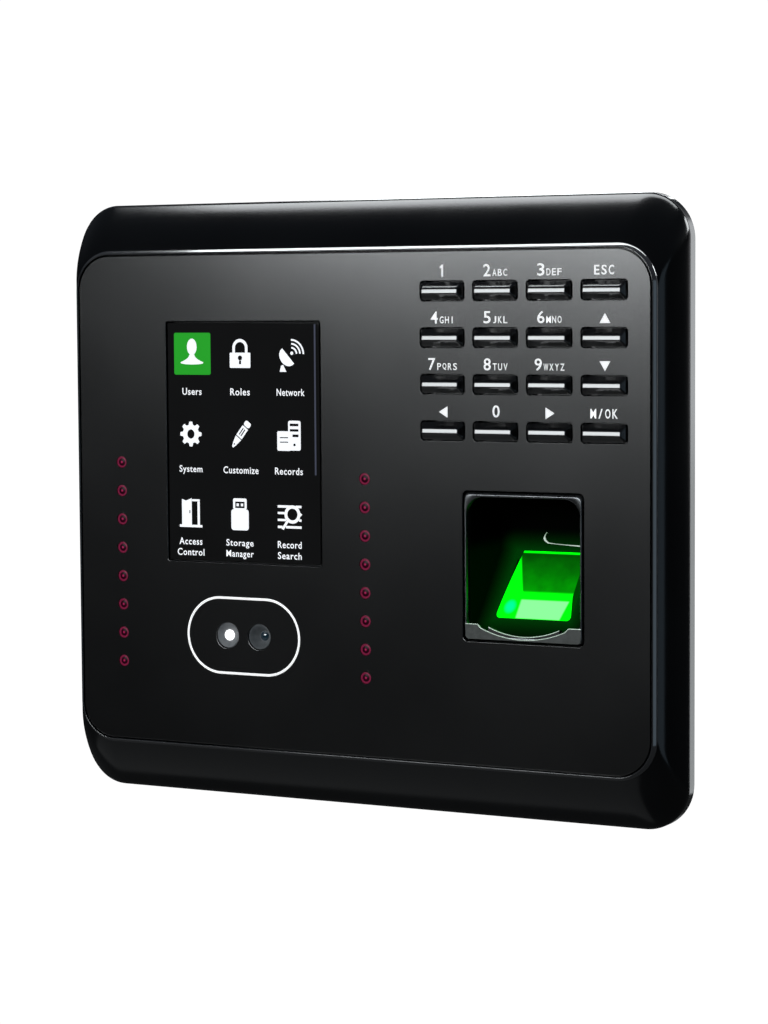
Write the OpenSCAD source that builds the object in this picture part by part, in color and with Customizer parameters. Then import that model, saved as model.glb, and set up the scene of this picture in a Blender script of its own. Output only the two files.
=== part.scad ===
// Wall-mounted fingerprint scanner terminal with a keypad, a colour screen and a face camera.
// Every module draws in panel coordinates: x across, y up, z straight out of the wall.
// upright() then stands the piece up, so that the wall is at y = 0 and the front looks along -Y.

/* [Housing] */
// Width of the housing, measured over its flange
housing_w = 167.5; // [160:0.5:205]
// Height of the housing, measured over its flange
housing_h = 148.8; // [146:0.2:180]
// Distance from the wall to the front rim
front_z = 32.2; // [31:0.1:40]
// Corner radius of the flange
housing_r = 11; // [8:0.5:14]
// Straight side wall of the flange
flange_side = 3.4; // [2.6:0.1:4.5]
// Drop from the front rim back to the edge of the flange
flange_drop = 7.7; // [6.6:0.1:9]
// Bevel left at each side between flange and panel
bevel_side = 4.3; // [3.5:0.1:7]
// Bevel left above and below the panel, on average
bevel_end = 12.15; // [10:0.05:14]
// Height of the panel's centre above the housing's centre
panel_up = 0.43; // [0:0.01:1.5]
// Corner radius of the panel
panel_r = 10; // [8:0.5:12]
// Thickness of the front wall of the shell
shell_t = 1.7; // [1.4:0.1:2.2]
// Thickness of the shell's side walls
side_t = 2.2; // [1.8:0.1:2.6]
// Depth of the straight edge of the panel
panel_edge = 1.2; // [0.8:0.1:1.6]

/* [Face plate] */
// Width of the bright rim round the face plate
rim_w = 1.0; // [0.8:0.1:1.6]
// Height of the rim above the face plate
rim_proud = 0.2; // [0.1:0.05:0.4]
// Thickness of the face plate
plate_t = 1.5; // [1.2:0.1:2]
// Groove between the rim and the face plate
plate_gap = 0.35; // [0.2:0.05:0.6]

/* [Screen] */
// Width of the screen window's hole
screen_w = 44.2; // [40:0.2:46]
// Height of the screen window's hole
screen_h = 59.8; // [50:0.2:61]
// Place of the screen across the panel
screen_x = -30.3; // [-32:0.1:-28]
// Place of the screen up the panel
screen_y = 15.1; // [13:0.1:17]
// Gap round the screen window
screen_gap = 0.4; // [0.2:0.05:0.6]
// Thickness of the display module
lcd_t = 2.4; // [2:0.1:3]
// Width that the display module has beyond the window on each side
lcd_side = 2.9; // [2:0.1:3.2]
// Height that the display module has beyond the window at each end
lcd_end = 4.7; // [3:0.1:4.9]
// Thickness of the foam gasket round the display
gasket_t = 0.5; // [0.3:0.1:0.7]

/* [Keypad] */
// Number of key columns
key_columns = 4; // [4]
// Number of key rows
key_rows = 4; // [4]
// Distance between key columns
key_pitch_x = 13.9; // [13.6:0.1:14.4]
// Distance between key rows
key_pitch_y = 11.02; // [10.6:0.01:11.4]
// Width of a key's hole
key_hole_w = 11.7; // [10:0.1:12]
// Height of a key's hole
key_hole_h = 4.75; // [4:0.05:5]
// Centre line shared by the keypad and the finger sensor
key_x = 45.75; // [45:0.05:47]
// Centre of the keypad up the panel
key_y = 35.4; // [35:0.1:36.5]
// Gap between a key and its hole
key_gap = 0.3; // [0.2:0.05:0.35]
// How far a key's ridge stands out of the rim
key_proud = 1.8; // [1.2:0.1:2.4]
// Travel of a key
key_travel = 0.7; // [0.4:0.1:0.9]
// Height that a rubber dome keeps when its key is pressed
dome_pressed_h = 1.5; // [1.3:0.1:1.7]

/* [Camera and infrared lights] */
// Width of the ring round the cameras
ring_w = 32.6; // [28:0.2:34]
// Height of the ring round the cameras
ring_h = 19.5; // [17:0.1:20]
// Width of the ring's line
ring_line = 0.75; // [0.5:0.05:1]
// Depth to which the ring is let into the face plate
ring_t = 0.6; // [0.4:0.1:0.8]
// Place of the cameras across the panel
camera_x = -30.7; // [-32:0.1:-29]
// Place of the cameras up the panel
camera_y = -32.9; // [-33.5:0.1:-32.5]
// Distance between the two lenses
lens_pitch = 9.1; // [8.8:0.1:10]
// Diameter of a camera hole
lens_hole_d = 6.5; // [5.5:0.1:6.8]
// Diameter of an infrared light
led_d = 3.0; // [2.6:0.1:3.2]
// Gap round an infrared light
led_gap = 0.15; // [0.1:0.05:0.2]
// Number of infrared lights in each row
led_count = 8; // [6:1:8]
// Pitch of the infrared lights in the left row
led_pitch_left = 7.2; // [6.4:0.1:7.4]
// Pitch of the infrared lights in the right row
led_pitch_right = 6.9; // [6.4:0.1:7.2]
// Place of the left row across the panel
led_left_x = -66.0; // [-67:0.1:-64]
// Place of the right row across the panel
led_right_x = 3.7; // [3:0.1:6]
// Middle of the left row above the centre of the panel
led_left_y = -15.6; // [-17:0.1:-14]
// Middle of the right row above the centre of the panel
led_right_y = -17.2; // [-18:0.1:-15]

/* [Finger sensor] */
// Width of the sensor's hole in the panel
sensor_w = 31.4; // [29:0.2:33]
// Height of the sensor's hole in the panel
sensor_h = 35.9; // [33:0.1:36]
// Centre of the sensor up the panel
sensor_y = -13.05; // [-14:0.05:-12.5]
// Gap round the sensor's metal bezel
sensor_gap = 0.45; // [0.3:0.05:0.6]
// Width of the sensor's metal frame
bezel_w = 0.75; // [0.6:0.05:1]
// Height of the lip under the finger
lip_h = 4.0; // [3:0.1:4.5]
// Depth of the finger scoop in the lip
scoop_h = 2.8; // [2:0.1:3]
// Width of the glass platen
platen_w = 19.6; // [17:0.2:22]
// Height over which the platen climbs
platen_rise = 15; // [13:0.5:16]
// Depth of the platen's lower edge behind the rim
platen_near = 5.7; // [5:0.1:6.5]
// Depth of the platen's upper edge behind the rim
platen_far = 18.3; // [16:0.1:18.8]

/* [Rear cover] */
// Width of the tub on the back
tub_w = 144; // [142:1:146]
// Top of the tub above the housing's centre
tub_top = 56; // [55:0.5:56]
// Bottom of the tub below the housing's centre
tub_bottom = 44; // [44:0.5:45]
// Gap between the wall and the tub
tub_z = 2.0; // [1.9:0.1:2.4]
// Thickness of the rear cover
cover_t = 2.0; // [1.6:0.1:2.2]
// Thickness of the cover's rim plate
rim_plate_t = 1.8; // [1.4:0.1:2]
// Gap between the cover's rim plate and the shell
cover_gap = 0.2; // [0.1:0.05:0.4]

/* [Boards and screws] */
// Thickness of the circuit boards
board_t = 1.6; // [1.6]
// Height of the main board above the cover's floor
main_lift = 1.6; // [1.5:0.1:2]
// Shank diameter of the small board screws
small_screw_d = 2.2; // [2:0.1:2.4]
// Length of the small board screws
small_screw_l = 5; // [4.4:0.1:5]
// Shank diameter of the case screws
case_screw_d = 3; // [2.8:0.1:3.2]
// Length of the case screws
case_screw_l = 5.4; // [5:0.1:5.6]
// Diameter of the sounder's speaker
speaker_d = 28; // [24:0.5:28]

/* [Wall bracket] */
// Width of the wall bracket
bracket_w = 128; // [124:1:136]
// Height of the wall bracket
bracket_h = 136; // [134:1:140]
// Thickness of the bracket's steel sheet
bracket_t = 1.5; // [1.2:0.1:1.6]
// Distance between the wall holes, across
wall_hole_x = 100; // [90:1:106]
// Distance between the wall holes, up
wall_hole_y = 122; // [121:0.5:124]
// Diameter of the wall holes
wall_hole_d = 4.8; // [4:0.1:5.2]

/* [Hidden] */
$fn = 64;
hull_fn = 32;
skin = 0.02;

// Levels out of the wall, from the front rim back to the wall
plate_front = front_z - rim_proud;
plate_back = plate_front - plate_t;
shell_back = plate_back - shell_t;
bevel_top = front_z - panel_edge;
flange_front = front_z - flange_drop;
flange_back = flange_front - flange_side;
rim_plate_z = flange_back + cover_gap;
rim_plate_top = rim_plate_z + rim_plate_t;
floor_top = tub_z + cover_t;
main_z = floor_top + main_lift;
main_top = main_z + board_t;

// Panel and face plate
panel_w = housing_w - 2 * bevel_side;
panel_h = housing_h - 2 * bevel_end;
seat_w = panel_w - 2 * rim_w;
seat_h = panel_h - 2 * rim_w;
seat_r = panel_r - rim_w;
inner_w = housing_w - 2 * side_t;
inner_h = housing_h - 2 * side_t;

// Screen stack
lcd_w = screen_w + 2 * lcd_side;
lcd_h = screen_h + 2 * lcd_end;
lcd_slack = 0.2;
ledge_t = 0.6;
ledge_w = 0.5;
lcd_front = plate_back - ledge_t - gasket_t;
lcd_back = lcd_front - lcd_t;
frame_t = 0.8;
frame_over = 3.0;
frame_back = lcd_back - frame_t;
frame_w = lcd_w + 2 * frame_over;
frame_h = lcd_h + 2 * frame_over;
stake_d = 2.0;
stake_x = lcd_w / 2 + 1.3;
stake_y = 26;
stake_gap = 0.1;

// Keypad stack
key_hole_r = 0.9;
key_w = key_hole_w - 2 * key_gap;
key_h = key_hole_h - 2 * key_gap;
key_top = front_z + key_proud;
key_end_slope = 0.8;
key_ridge_r = 0.75;
key_lip = 0.6;
key_lip_t = 0.8;
key_rest_gap = 0.1;
shell_key_gap = 0.2;
lip_top = shell_back - key_rest_gap;
lip_bottom = lip_top - key_lip_t;
dome_d = 4.6;
dome_top_d = 3.2;
mat_t = 0.8;
keypad_rear_gap = 0.2;
mat_z = max(lip_bottom - dome_pressed_h - key_travel - mat_t, rim_plate_top + keypad_rear_gap + board_t);
dome_h = lip_bottom - mat_z - mat_t;
keypad_z = mat_z - board_t;
keypad_margin = 2.2;
keypad_w = (key_columns - 1) * key_pitch_x + key_hole_w + 2 * keypad_margin;
keypad_h = (key_rows - 1) * key_pitch_y + key_hole_h + 2 * keypad_margin + 3;
post_d = 3.8;
post_gap = 0.3;

// Camera stack
barrel_d = 8.4;
barrel_gap = 0.15;
barrel_front = plate_front - 0.3;
cone_depth = 2.4;
cone_bottom_d = 2.8;
lens_d = 2.6;
camera_lift = 10.2;
camera_top = shell_back - camera_lift;
camera_board_w = 36;
camera_board_h = 15;
camera_post_x = 14.6;
camera_post_y = 4.6;

// Infrared lights
led_board_t = 1.2;
led_board_w = 8;
led_board_z = shell_back - 4.2;
led_flange_t = 1;
led_flange_over = 0.4;
led_front = plate_front - 0.3;
led_stake_d = 2.0;

// Finger sensor
bezel_w_out = sensor_w - 2 * sensor_gap;
bezel_h_out = sensor_h - 2 * sensor_gap;
bezel_front = plate_front + 0.1;
bezel_r = 2;
bezel_inner_r = 4.3;
bezel_bottom = sensor_y - bezel_h_out / 2;
bezel_top = sensor_y + bezel_h_out / 2;
lip_y = bezel_bottom + lip_h;
scoop_chord = bezel_w_out - 2 * (bezel_w + 3);
scoop_r = (scoop_chord * scoop_chord / 4 + scoop_h * scoop_h) / (2 * scoop_h);
house_wall = 1.2;
house_w = bezel_w_out + 0.3;
house_h = bezel_h_out + 0.3;
house_bottom = sensor_y - house_h / 2;
house_top = sensor_y + house_h / 2;
platen_y = lip_y + 0.9;
platen_near_z = front_z - platen_near;
platen_far_z = front_z - platen_far;
imager_t = 1.5;
house_back = platen_far_z - 2.4;
ear_w = 5.4;
ear_x = house_w / 2 + 3.4;
ear_top = shell_back - 3.2;
light_gap = 0.5;

// Case screws and bosses
boss_d = 7;
boss_inset = 9.5;
boss_up = 4.2;
case_head_d = 5.6;
case_head_t = 1.6;
small_head_d = 4;
small_head_t = 1.6;

// Main board and its connectors
main_left = -66;
main_right = 38;
main_edge = 0.5;
main_low = -tub_bottom + cover_t + main_edge;
main_high = tub_top - cover_t - 3;
processor_t = 1.6;
chip_t = 1.2;
socket_top = main_top + 1.8;
sensor_socket_x = 26;
imager_back = house_back - imager_t;
port_gap = 0.3;
port_front = -tub_bottom + 0.2;
jack_x = 5;
jack_w = 16;
jack_t = 13.2;
jack_l = 21;
usb_x = 22.5;
usb_w = 13.2;
usb_t = 6.8;
usb_l = 14;
power_x = -57.5;
power_w = 9;
power_t = 11;
power_l = 14;
power_bore_d = 5.6;
power_pin_d = 2;
ways = 10;
way_pitch = 3.81;
terminal_x = -30;
terminal_t = 7.8;
terminal_l = 9;
reset_x = 33.5;
reset_switch_y = main_low + 3.4;
reset_z = main_top + 2.2;
reset_d = 2.6;
reset_gap = 0.4;
reset_travel = 0.5;
reset_proud = 0.6;
tamper_x = -40;
tamper_y = 12;
tamper_d = 3;
tamper_gap = 0.3;
tamper_travel = 1;
tamper_body_t = 6;
tamper_roof = main_top + tamper_body_t - 0.8;
speaker_x = 54;
speaker_y = 38;
speaker_t = 5.5;
relay_x = -48;
relay_y = -8;
relay_w = 20;
relay_h = 15;
relay_t = 10.5;
buzzer_x = 29;
buzzer_y = 36;
battery_x = -48;
battery_y = 38;
cell_d = 20;
cell_t = 3.2;

// Bracket hooks, tab and cable window
hook_x = 26;
hook_w = 12;
hook_y = 30;
hook_reach = 3.5;
hook_clear = 0.1;
tab_x = 52;
tab_w = 14;
tab_out = 14;
tab_z = 9;
tab_gap = 0.2;
window_w = 70;
window_h = 12;
window_y = -52;
security_d = 3;
security_gap = 0.2;

// ---- Shared shapes ----

// Stands a piece up: z out of the wall becomes -Y, y up becomes +Z
module upright() {
    rotate([90, 0, 0]) children();
}

// Rectangle with true round corners
module round_rect(w, h, r) {
    square([w - 2 * r, h], center = true);
    square([w, h - 2 * r], center = true);
    for (x = [-1, 1], y = [-1, 1]) {
        translate([x * (w / 2 - r), y * (h / 2 - r)]) circle(r);
    }
}

// Slab of the child outline between two levels
module slab(low, high) {
    translate([0, 0, low]) linear_extrude(high - low) children();
}

// Box given by its two opposite corners
module span(low, high) {
    translate(low) cube(high - low);
}

// Round bar between two levels
module post(x, y, low, high, d) {
    translate([x, y, low]) cylinder(h = high - low, d = d);
}

// Centre of key number i, counted along the rows from the top left
function key_place(i) = [
    key_x + (i % key_columns - (key_columns - 1) / 2) * key_pitch_x,
    key_y - (floor(i / key_columns) - (key_rows - 1) / 2) * key_pitch_y];

// Places the child at every key
module at_keys() {
    for (i = [0 : key_columns * key_rows - 1]) {
        translate(key_place(i)) children();
    }
}

// Places of the screws between the key rows
keypad_posts = [for (x = [-1, 1], y = [-1, 1]) [key_x + x * key_pitch_x, key_y + y * key_pitch_y]];
camera_posts = [[camera_x - camera_post_x, camera_y + camera_post_y],
    [camera_x + camera_post_x, camera_y - camera_post_y]];
sensor_posts = [for (x = [-1, 1]) [key_x + x * ear_x, sensor_y]];
main_posts = [for (x = [main_left + 4, main_right - 4], y = [main_low + 20, main_high - 4]) [x, y]];
lcd_stakes = [for (x = [-1, 1], y = [-1, 1]) [screen_x + x * stake_x, screen_y + y * stake_y]];
case_posts = [for (x = [-1, 0, 1], y = [-1, 1])
    [x * (housing_w / 2 - boss_inset), y * (housing_h / 2 - boss_inset)]];

// Height of light number i above the panel's centre, for a row of the given middle and pitch
function led_place(i, middle, pitch) = middle + ((led_count - 1) / 2 - i) * pitch;
function led_stakes(middle, pitch) = [for (s = [-1, 1]) middle + s * (led_count / 2 - 1) * pitch];

// Places the child at each light of a row
module at_leds(x, middle, pitch) {
    for (i = [0 : led_count - 1]) {
        translate([x, led_place(i, middle, pitch)]) children();
    }
}

// Round-ended outline of the camera ring
module stadium(w, h) {
    square([w - h, h], center = true);
    for (x = [-1, 1]) {
        translate([x * (w - h) / 2, 0]) circle(h / 2);
    }
}

// Thin slice of the housing at one level, for the bevel
module slice(w, h, r, up, level) {
    translate([0, up, level]) linear_extrude(skin) round_rect(w, h, r, $fn = hull_fn);
}

// ---- Housing ----

module shell_outside() {
    slab(flange_back, flange_front) round_rect(housing_w, housing_h, housing_r);
    hull() {
        slice(housing_w, housing_h, housing_r, 0, flange_front - skin);
        slice(housing_w - bevel_side * 0.85, housing_h - bevel_end * 0.95, housing_r, panel_up * 0.5,
            flange_front + (bevel_top - flange_front) * 0.58);
        slice(panel_w, panel_h, panel_r, panel_up, bevel_top - skin);
    }
    translate([0, panel_up, 0]) slab(bevel_top - 1, front_z) round_rect(panel_w, panel_h, panel_r);
}

module shell_inside() {
    slab(flange_back - 1, flange_front - 0.6) round_rect(inner_w, inner_h, housing_r - side_t);
    hull() {
        slice(inner_w, inner_h, housing_r - side_t, 0, flange_front - 0.7);
        slice(panel_w - 2 * side_t - 1, panel_h - 2 * side_t - 1, panel_r - side_t, panel_up,
            shell_back - skin);
    }
}

// Everything that is cut through the shell's front wall
module shell_holes() {
    translate([0, panel_up, 0]) slab(plate_back, front_z + 1) round_rect(seat_w, seat_h, seat_r);
    translate([screen_x, screen_y, 0]) {
        slab(shell_back - 1, plate_back + 1)
            square([screen_w - 2 * ledge_w, screen_h - 2 * ledge_w], center = true);
        slab(shell_back - 1, plate_back - ledge_t)
            square([lcd_w + 2 * lcd_slack, lcd_h + 2 * lcd_slack], center = true);
    }
    slab(shell_back - 1, plate_back + 1) {
        at_keys() round_rect(key_hole_w + 2 * shell_key_gap, key_hole_h + 2 * shell_key_gap, key_hole_r);
        at_leds(led_left_x, led_left_y, led_pitch_left) circle(d = led_d + 2 * led_gap);
        at_leds(led_right_x, led_right_y, led_pitch_right) circle(d = led_d + 2 * led_gap);
        translate([key_x, sensor_y]) square([sensor_w, sensor_h], center = true);
        for (s = [-1, 1]) {
            translate([camera_x + s * lens_pitch / 2, camera_y]) circle(d = lens_hole_d);
        }
    }
}

// Posts inside the shell that carry the boards, and the pilot holes in them
module shell_posts() {
    for (p = keypad_posts) {
        post(p.x, p.y, mat_z, shell_back + skin, post_d);
    }
    for (p = camera_posts) {
        post(p.x, p.y, camera_top, shell_back + skin, post_d);
    }
    for (p = sensor_posts) {
        post(p.x, p.y, ear_top, shell_back + skin, ear_w);
    }
    for (p = lcd_stakes) {
        post(p.x, p.y, frame_back - 0.6, shell_back + skin, stake_d);
    }
    for (y = led_stakes(led_left_y, led_pitch_left)) {
        post(led_left_x, y, led_board_z - 0.5, shell_back + skin, led_stake_d);
    }
    for (y = led_stakes(led_right_y, led_pitch_right)) {
        post(led_right_x, y, led_board_z - 0.5, shell_back + skin, led_stake_d);
    }
    for (p = case_posts) {
        post(p.x, p.y, rim_plate_top, rim_plate_top + boss_up, boss_d);
    }
}

module pilot_holes() {
    for (p = keypad_posts) {
        post(p.x, p.y, mat_z - 1, keypad_z + small_screw_l, small_screw_d);
    }
    for (p = camera_posts) {
        post(p.x, p.y, camera_top - 1, camera_top - board_t + small_screw_l, small_screw_d);
    }
    for (p = sensor_posts) {
        post(p.x, p.y, ear_top - 1, ear_top - board_t + small_screw_l, small_screw_d);
    }
    for (p = case_posts) {
        post(p.x, p.y, rim_plate_top - 1, rim_plate_z + case_screw_l, case_screw_d);
    }
}

module front_shell() {
    color("black") upright() difference() {
        union() {
            difference() {
                shell_outside();
                shell_inside();
            }
            shell_posts();
        }
        shell_holes();
        pilot_holes();
    }
}

module face_plate() {
    color([0.06, 0.06, 0.065]) upright() difference() {
        slab(plate_back, plate_front) difference() {
            translate([0, panel_up]) {
                round_rect(seat_w - 2 * plate_gap, seat_h - 2 * plate_gap, seat_r - plate_gap);
            }
            translate([screen_x, screen_y]) square([screen_w, screen_h], center = true);
            at_keys() round_rect(key_hole_w, key_hole_h, key_hole_r);
            at_leds(led_left_x, led_left_y, led_pitch_left) circle(d = led_d + 2 * led_gap);
            at_leds(led_right_x, led_right_y, led_pitch_right) circle(d = led_d + 2 * led_gap);
            translate([key_x, sensor_y]) round_rect(sensor_w, sensor_h, bezel_r + sensor_gap);
            for (s = [-1, 1]) {
                translate([camera_x + s * lens_pitch / 2, camera_y]) circle(d = lens_hole_d);
            }
        }
        translate([camera_x, camera_y, 0]) slab(plate_front - ring_t, plate_front + 1) difference() {
            stadium(ring_w, ring_h);
            stadium(ring_w - 2 * ring_line, ring_h - 2 * ring_line);
        }
    }
}

// ---- Screen ----

module screen_window() {
    color([0.1, 0.1, 0.11, 0.6]) upright() translate([screen_x, screen_y, 0])
        slab(plate_back, plate_front - 0.2)
            square([screen_w - 2 * screen_gap, screen_h - 2 * screen_gap], center = true);
}

module screen_gasket() {
    color("dimgray") upright() translate([screen_x, screen_y, 0])
        slab(lcd_front, lcd_front + gasket_t) difference() {
            square([lcd_w - 0.4, lcd_h - 0.4], center = true);
            square([screen_w, screen_h], center = true);
        }
}

module lcd_panel() {
    color([0.12, 0.12, 0.13]) upright() translate([screen_x, screen_y, 0])
        slab(lcd_back, lcd_front) square([lcd_w, lcd_h], center = true);
}

module lcd_frame() {
    color("silver") upright() difference() {
        translate([screen_x, screen_y, 0]) slab(frame_back, lcd_back) round_rect(frame_w, frame_h, 1.5);
        translate([screen_x, screen_y, 0]) slab(frame_back - 1, lcd_back + 1) round_rect(30, 44, 3);
        for (p = lcd_stakes) {
            post(p.x, p.y, frame_back - 1, lcd_back + 1, stake_d + 2 * stake_gap);
        }
    }
}

// ---- Cameras and infrared lights ----

module camera_ring() {
    color("white") upright() translate([camera_x, camera_y, 0])
        slab(plate_front - ring_t, plate_front) difference() {
            stadium(ring_w, ring_h);
            stadium(ring_w - 2 * ring_line, ring_h - 2 * ring_line);
        }
}

// Barrel with a cone in front of its lens; side is -1 for the left one and 1 for the right one
module lens_barrel(side) {
    color([0.35, 0.36, 0.37]) upright() translate([camera_x + side * lens_pitch / 2, camera_y, 0])
        difference() {
            union() {
                cylinder_between(camera_top, shell_back - 0.3, barrel_d);
                cylinder_between(camera_top, barrel_front, lens_hole_d - 2 * barrel_gap);
            }
            translate([0, 0, barrel_front - cone_depth])
                cylinder(h = cone_depth + skin, d1 = cone_bottom_d, d2 = lens_hole_d - 2 * barrel_gap - 0.6);
            cylinder_between(barrel_front - cone_depth - 2, barrel_front, lens_d);
        }
}

module cylinder_between(low, high, d) {
    translate([0, 0, low]) cylinder(h = high - low, d = d);
}

module lens_barrel_left() {
    lens_barrel(-1);
}

module lens_barrel_right() {
    lens_barrel(1);
}

module camera_lenses() {
    color("steelblue") upright() for (s = [-1, 1]) {
        translate([camera_x + s * lens_pitch / 2, camera_y, barrel_front - cone_depth]) {
            cylinder_between(-2, -0.4, lens_d);
            translate([0, 0, -0.4]) cylinder(h = 0.4, d1 = lens_d, d2 = lens_d - 1);
        }
    }
}

module camera_board() {
    color("darkgreen") upright() difference() {
        translate([camera_x, camera_y, 0]) slab(camera_top - board_t, camera_top)
            square([camera_board_w, camera_board_h], center = true);
        for (p = camera_posts) {
            post(p.x, p.y, camera_top - board_t - 1, camera_top + 1, small_screw_d + 0.2);
        }
    }
}

module led_board(x, middle, pitch) {
    color("darkgreen") upright() difference() {
        translate([x, middle, 0]) slab(led_board_z, led_board_z + led_board_t)
            square([led_board_w, led_count * pitch], center = true);
        for (y = led_stakes(middle, pitch)) {
            post(x, y, led_board_z - 1, led_board_z + led_board_t + 1, led_stake_d + 2 * stake_gap);
        }
    }
}

module led_board_left() {
    led_board(led_left_x, led_left_y, led_pitch_left);
}

module led_board_right() {
    led_board(led_right_x, led_right_y, led_pitch_right);
}

// One infrared light: a flange, a barrel and a domed end
module infrared_led() {
    low = led_board_z + led_board_t;
    cylinder_between(low, low + led_flange_t, led_d + led_flange_over);
    cylinder_between(low, led_front - led_d / 2, led_d);
    translate([0, 0, led_front - led_d / 2]) sphere(d = led_d);
}

module infrared_leds_left() {
    color([0.35, 0.05, 0.12]) upright() at_leds(led_left_x, led_left_y, led_pitch_left) infrared_led();
}

module infrared_leds_right() {
    color([0.35, 0.05, 0.12]) upright() at_leds(led_right_x, led_right_y, led_pitch_right) infrared_led();
}

// ---- Finger sensor ----

// Opening of the bezel: round upper corners, and a scoop in the lip below
module bezel_opening() {
    w = bezel_w_out - 2 * bezel_w;
    top = bezel_top - bezel_w;
    translate([-w / 2, lip_y]) square([w, top - bezel_inner_r - lip_y]);
    translate([-w / 2 + bezel_inner_r, lip_y]) square([w - 2 * bezel_inner_r, top - lip_y]);
    for (x = [-1, 1]) {
        translate([x * (w / 2 - bezel_inner_r), top - bezel_inner_r]) circle(bezel_inner_r);
    }
    intersection() {
        translate([0, lip_y - scoop_h + scoop_r]) circle(scoop_r);
        translate([-scoop_chord / 2, lip_y - scoop_h - 1]) square([scoop_chord, scoop_h + 2]);
    }
}

module sensor_bezel() {
    color("silver") upright() translate([key_x, 0, 0]) slab(plate_back, bezel_front) difference() {
        translate([0, sensor_y]) round_rect(bezel_w_out, bezel_h_out, bezel_r);
        bezel_opening();
    }
}

// Side outline of the finger well: y along the outline, z out of the wall
module well_profile() {
    polygon([[bezel_top - bezel_w - 0.2, plate_back + 1],
        [bezel_top - bezel_w - 0.2, platen_far_z],
        [platen_y + platen_rise, platen_far_z],
        [platen_y, platen_near_z],
        [lip_y - scoop_h + 0.6, plate_back],
        [lip_y - scoop_h + 0.6, plate_back + 1]]);
}

// Hollow behind the sloping wall, open to the back
module well_back_profile() {
    run = house_wall;
    polygon([[house_bottom + run, house_back - 1],
        [house_bottom + run, platen_near_z - run - 0.4],
        [platen_y - run * 0.6, platen_near_z - run - 0.4],
        [platen_y + platen_rise - run * 0.6, platen_far_z - run],
        [house_top - run, platen_far_z - run],
        [house_top - run, house_back - 1]]);
}

// Triangle of the glass prism
module prism_profile() {
    polygon([[platen_y, platen_near_z],
        [platen_y, platen_far_z],
        [platen_y + platen_rise, platen_far_z]]);
}

// Runs a side outline across the given width
module across(w) {
    translate([-w / 2, 0, 0]) rotate([90, 0, 90]) linear_extrude(w) children();
}

module sensor_housing() {
    color([0.08, 0.08, 0.08]) upright() translate([key_x, 0, 0]) difference() {
        union() {
            translate([0, sensor_y, 0]) slab(house_back, plate_back)
                square([house_w, house_h], center = true);
            translate([0, sensor_y, 0]) slab(ear_top - board_t, ear_top)
                square([2 * ear_x + ear_w, ear_w], center = true);
        }
        across(house_w - 2 * house_wall) well_profile();
        across(house_w - 2 * house_wall) well_back_profile();
        across(platen_w) prism_profile();
        for (s = [-1, 1]) {
            post(s * ear_x, sensor_y, ear_top - board_t - 1, ear_top + 1, small_screw_d + 0.2);
        }
    }
}

module sensor_prism() {
    color([0.1, 0.9, 0.2]) upright() translate([key_x, 0, 0]) across(platen_w) prism_profile();
}

module sensor_light() {
    y = platen_y - light_gap;
    color("lime") upright() translate([key_x, 0, 0]) {
        span([-platen_w / 2, house_bottom + house_wall, platen_far_z],
            [platen_w / 2, house_bottom + house_wall + 1, platen_near_z - house_wall - 0.6]);
        for (i = [-1.5 : 1.5]) {
            span([i * 4.6 - 1.5, house_bottom + house_wall + 1, platen_far_z + 3],
                [i * 4.6 + 1.5, min(y, house_bottom + house_wall + 2.2), platen_far_z + 6]);
        }
    }
}

module sensor_imager() {
    color("darkgreen") upright() translate([key_x, 0, 0]) {
        translate([0, sensor_y, 0]) slab(house_back - imager_t, house_back)
            square([house_w, house_h], center = true);
        post(0, platen_y + platen_rise * 0.45, house_back - skin, platen_far_z - 0.4, 7);
    }
}

// ---- Keypad ----

// Side outline of a key cap above its lip: straight, then two slopes up to a round ridge
module key_side(half, top_half, low) {
    polygon([[-half, low], [half, low], [half, plate_front], [top_half, key_top - key_ridge_r * 0.4],
        [top_half * 0.55, key_top], [-top_half * 0.55, key_top],
        [-top_half, key_top - key_ridge_r * 0.4], [-half, plate_front]]);
}

// Key cap number i: a ridged bar on a retaining lip
module key_cap(i) {
    p = key_place(i);
    color([0.03, 0.03, 0.03]) upright() translate([p.x, p.y, 0]) {
        intersection() {
            translate([-key_w / 2, 0, 0]) rotate([90, 0, 90])
                linear_extrude(key_w) key_side(key_h / 2, key_ridge_r, lip_top - skin);
            translate([0, key_h / 2, 0]) rotate([90, 0, 0])
                linear_extrude(key_h) key_side(key_w / 2, key_w / 2 - key_end_slope, lip_top - skin);
        }
        slab(lip_bottom, lip_top)
            square([key_w + 2 * key_gap + 2 * shell_key_gap + 2 * key_lip - 0.6,
                key_h + 2 * key_gap + 2 * shell_key_gap + 2 * key_lip], center = true);
    }
}

module key_1() { key_cap(0); }
module key_2() { key_cap(1); }
module key_3() { key_cap(2); }
module key_escape() { key_cap(3); }
module key_4() { key_cap(4); }
module key_5() { key_cap(5); }
module key_6() { key_cap(6); }
module key_up() { key_cap(7); }
module key_7() { key_cap(8); }
module key_8() { key_cap(9); }
module key_9() { key_cap(10); }
module key_down() { key_cap(11); }
module key_left() { key_cap(12); }
module key_0() { key_cap(13); }
module key_right() { key_cap(14); }
module key_menu() { key_cap(15); }

module keypad_mat() {
    color("gray") upright() difference() {
        union() {
            translate([key_x, key_y, 0]) slab(mat_z, mat_z + mat_t)
                square([keypad_w - 1, keypad_h - 1], center = true);
            at_keys() translate([0, 0, mat_z + mat_t - skin])
                cylinder(h = dome_h + skin, d1 = dome_d, d2 = dome_top_d);
        }
        for (p = keypad_posts) {
            post(p.x, p.y, mat_z - 1, mat_z + mat_t + 1, post_d + 2 * post_gap);
        }
    }
}

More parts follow.
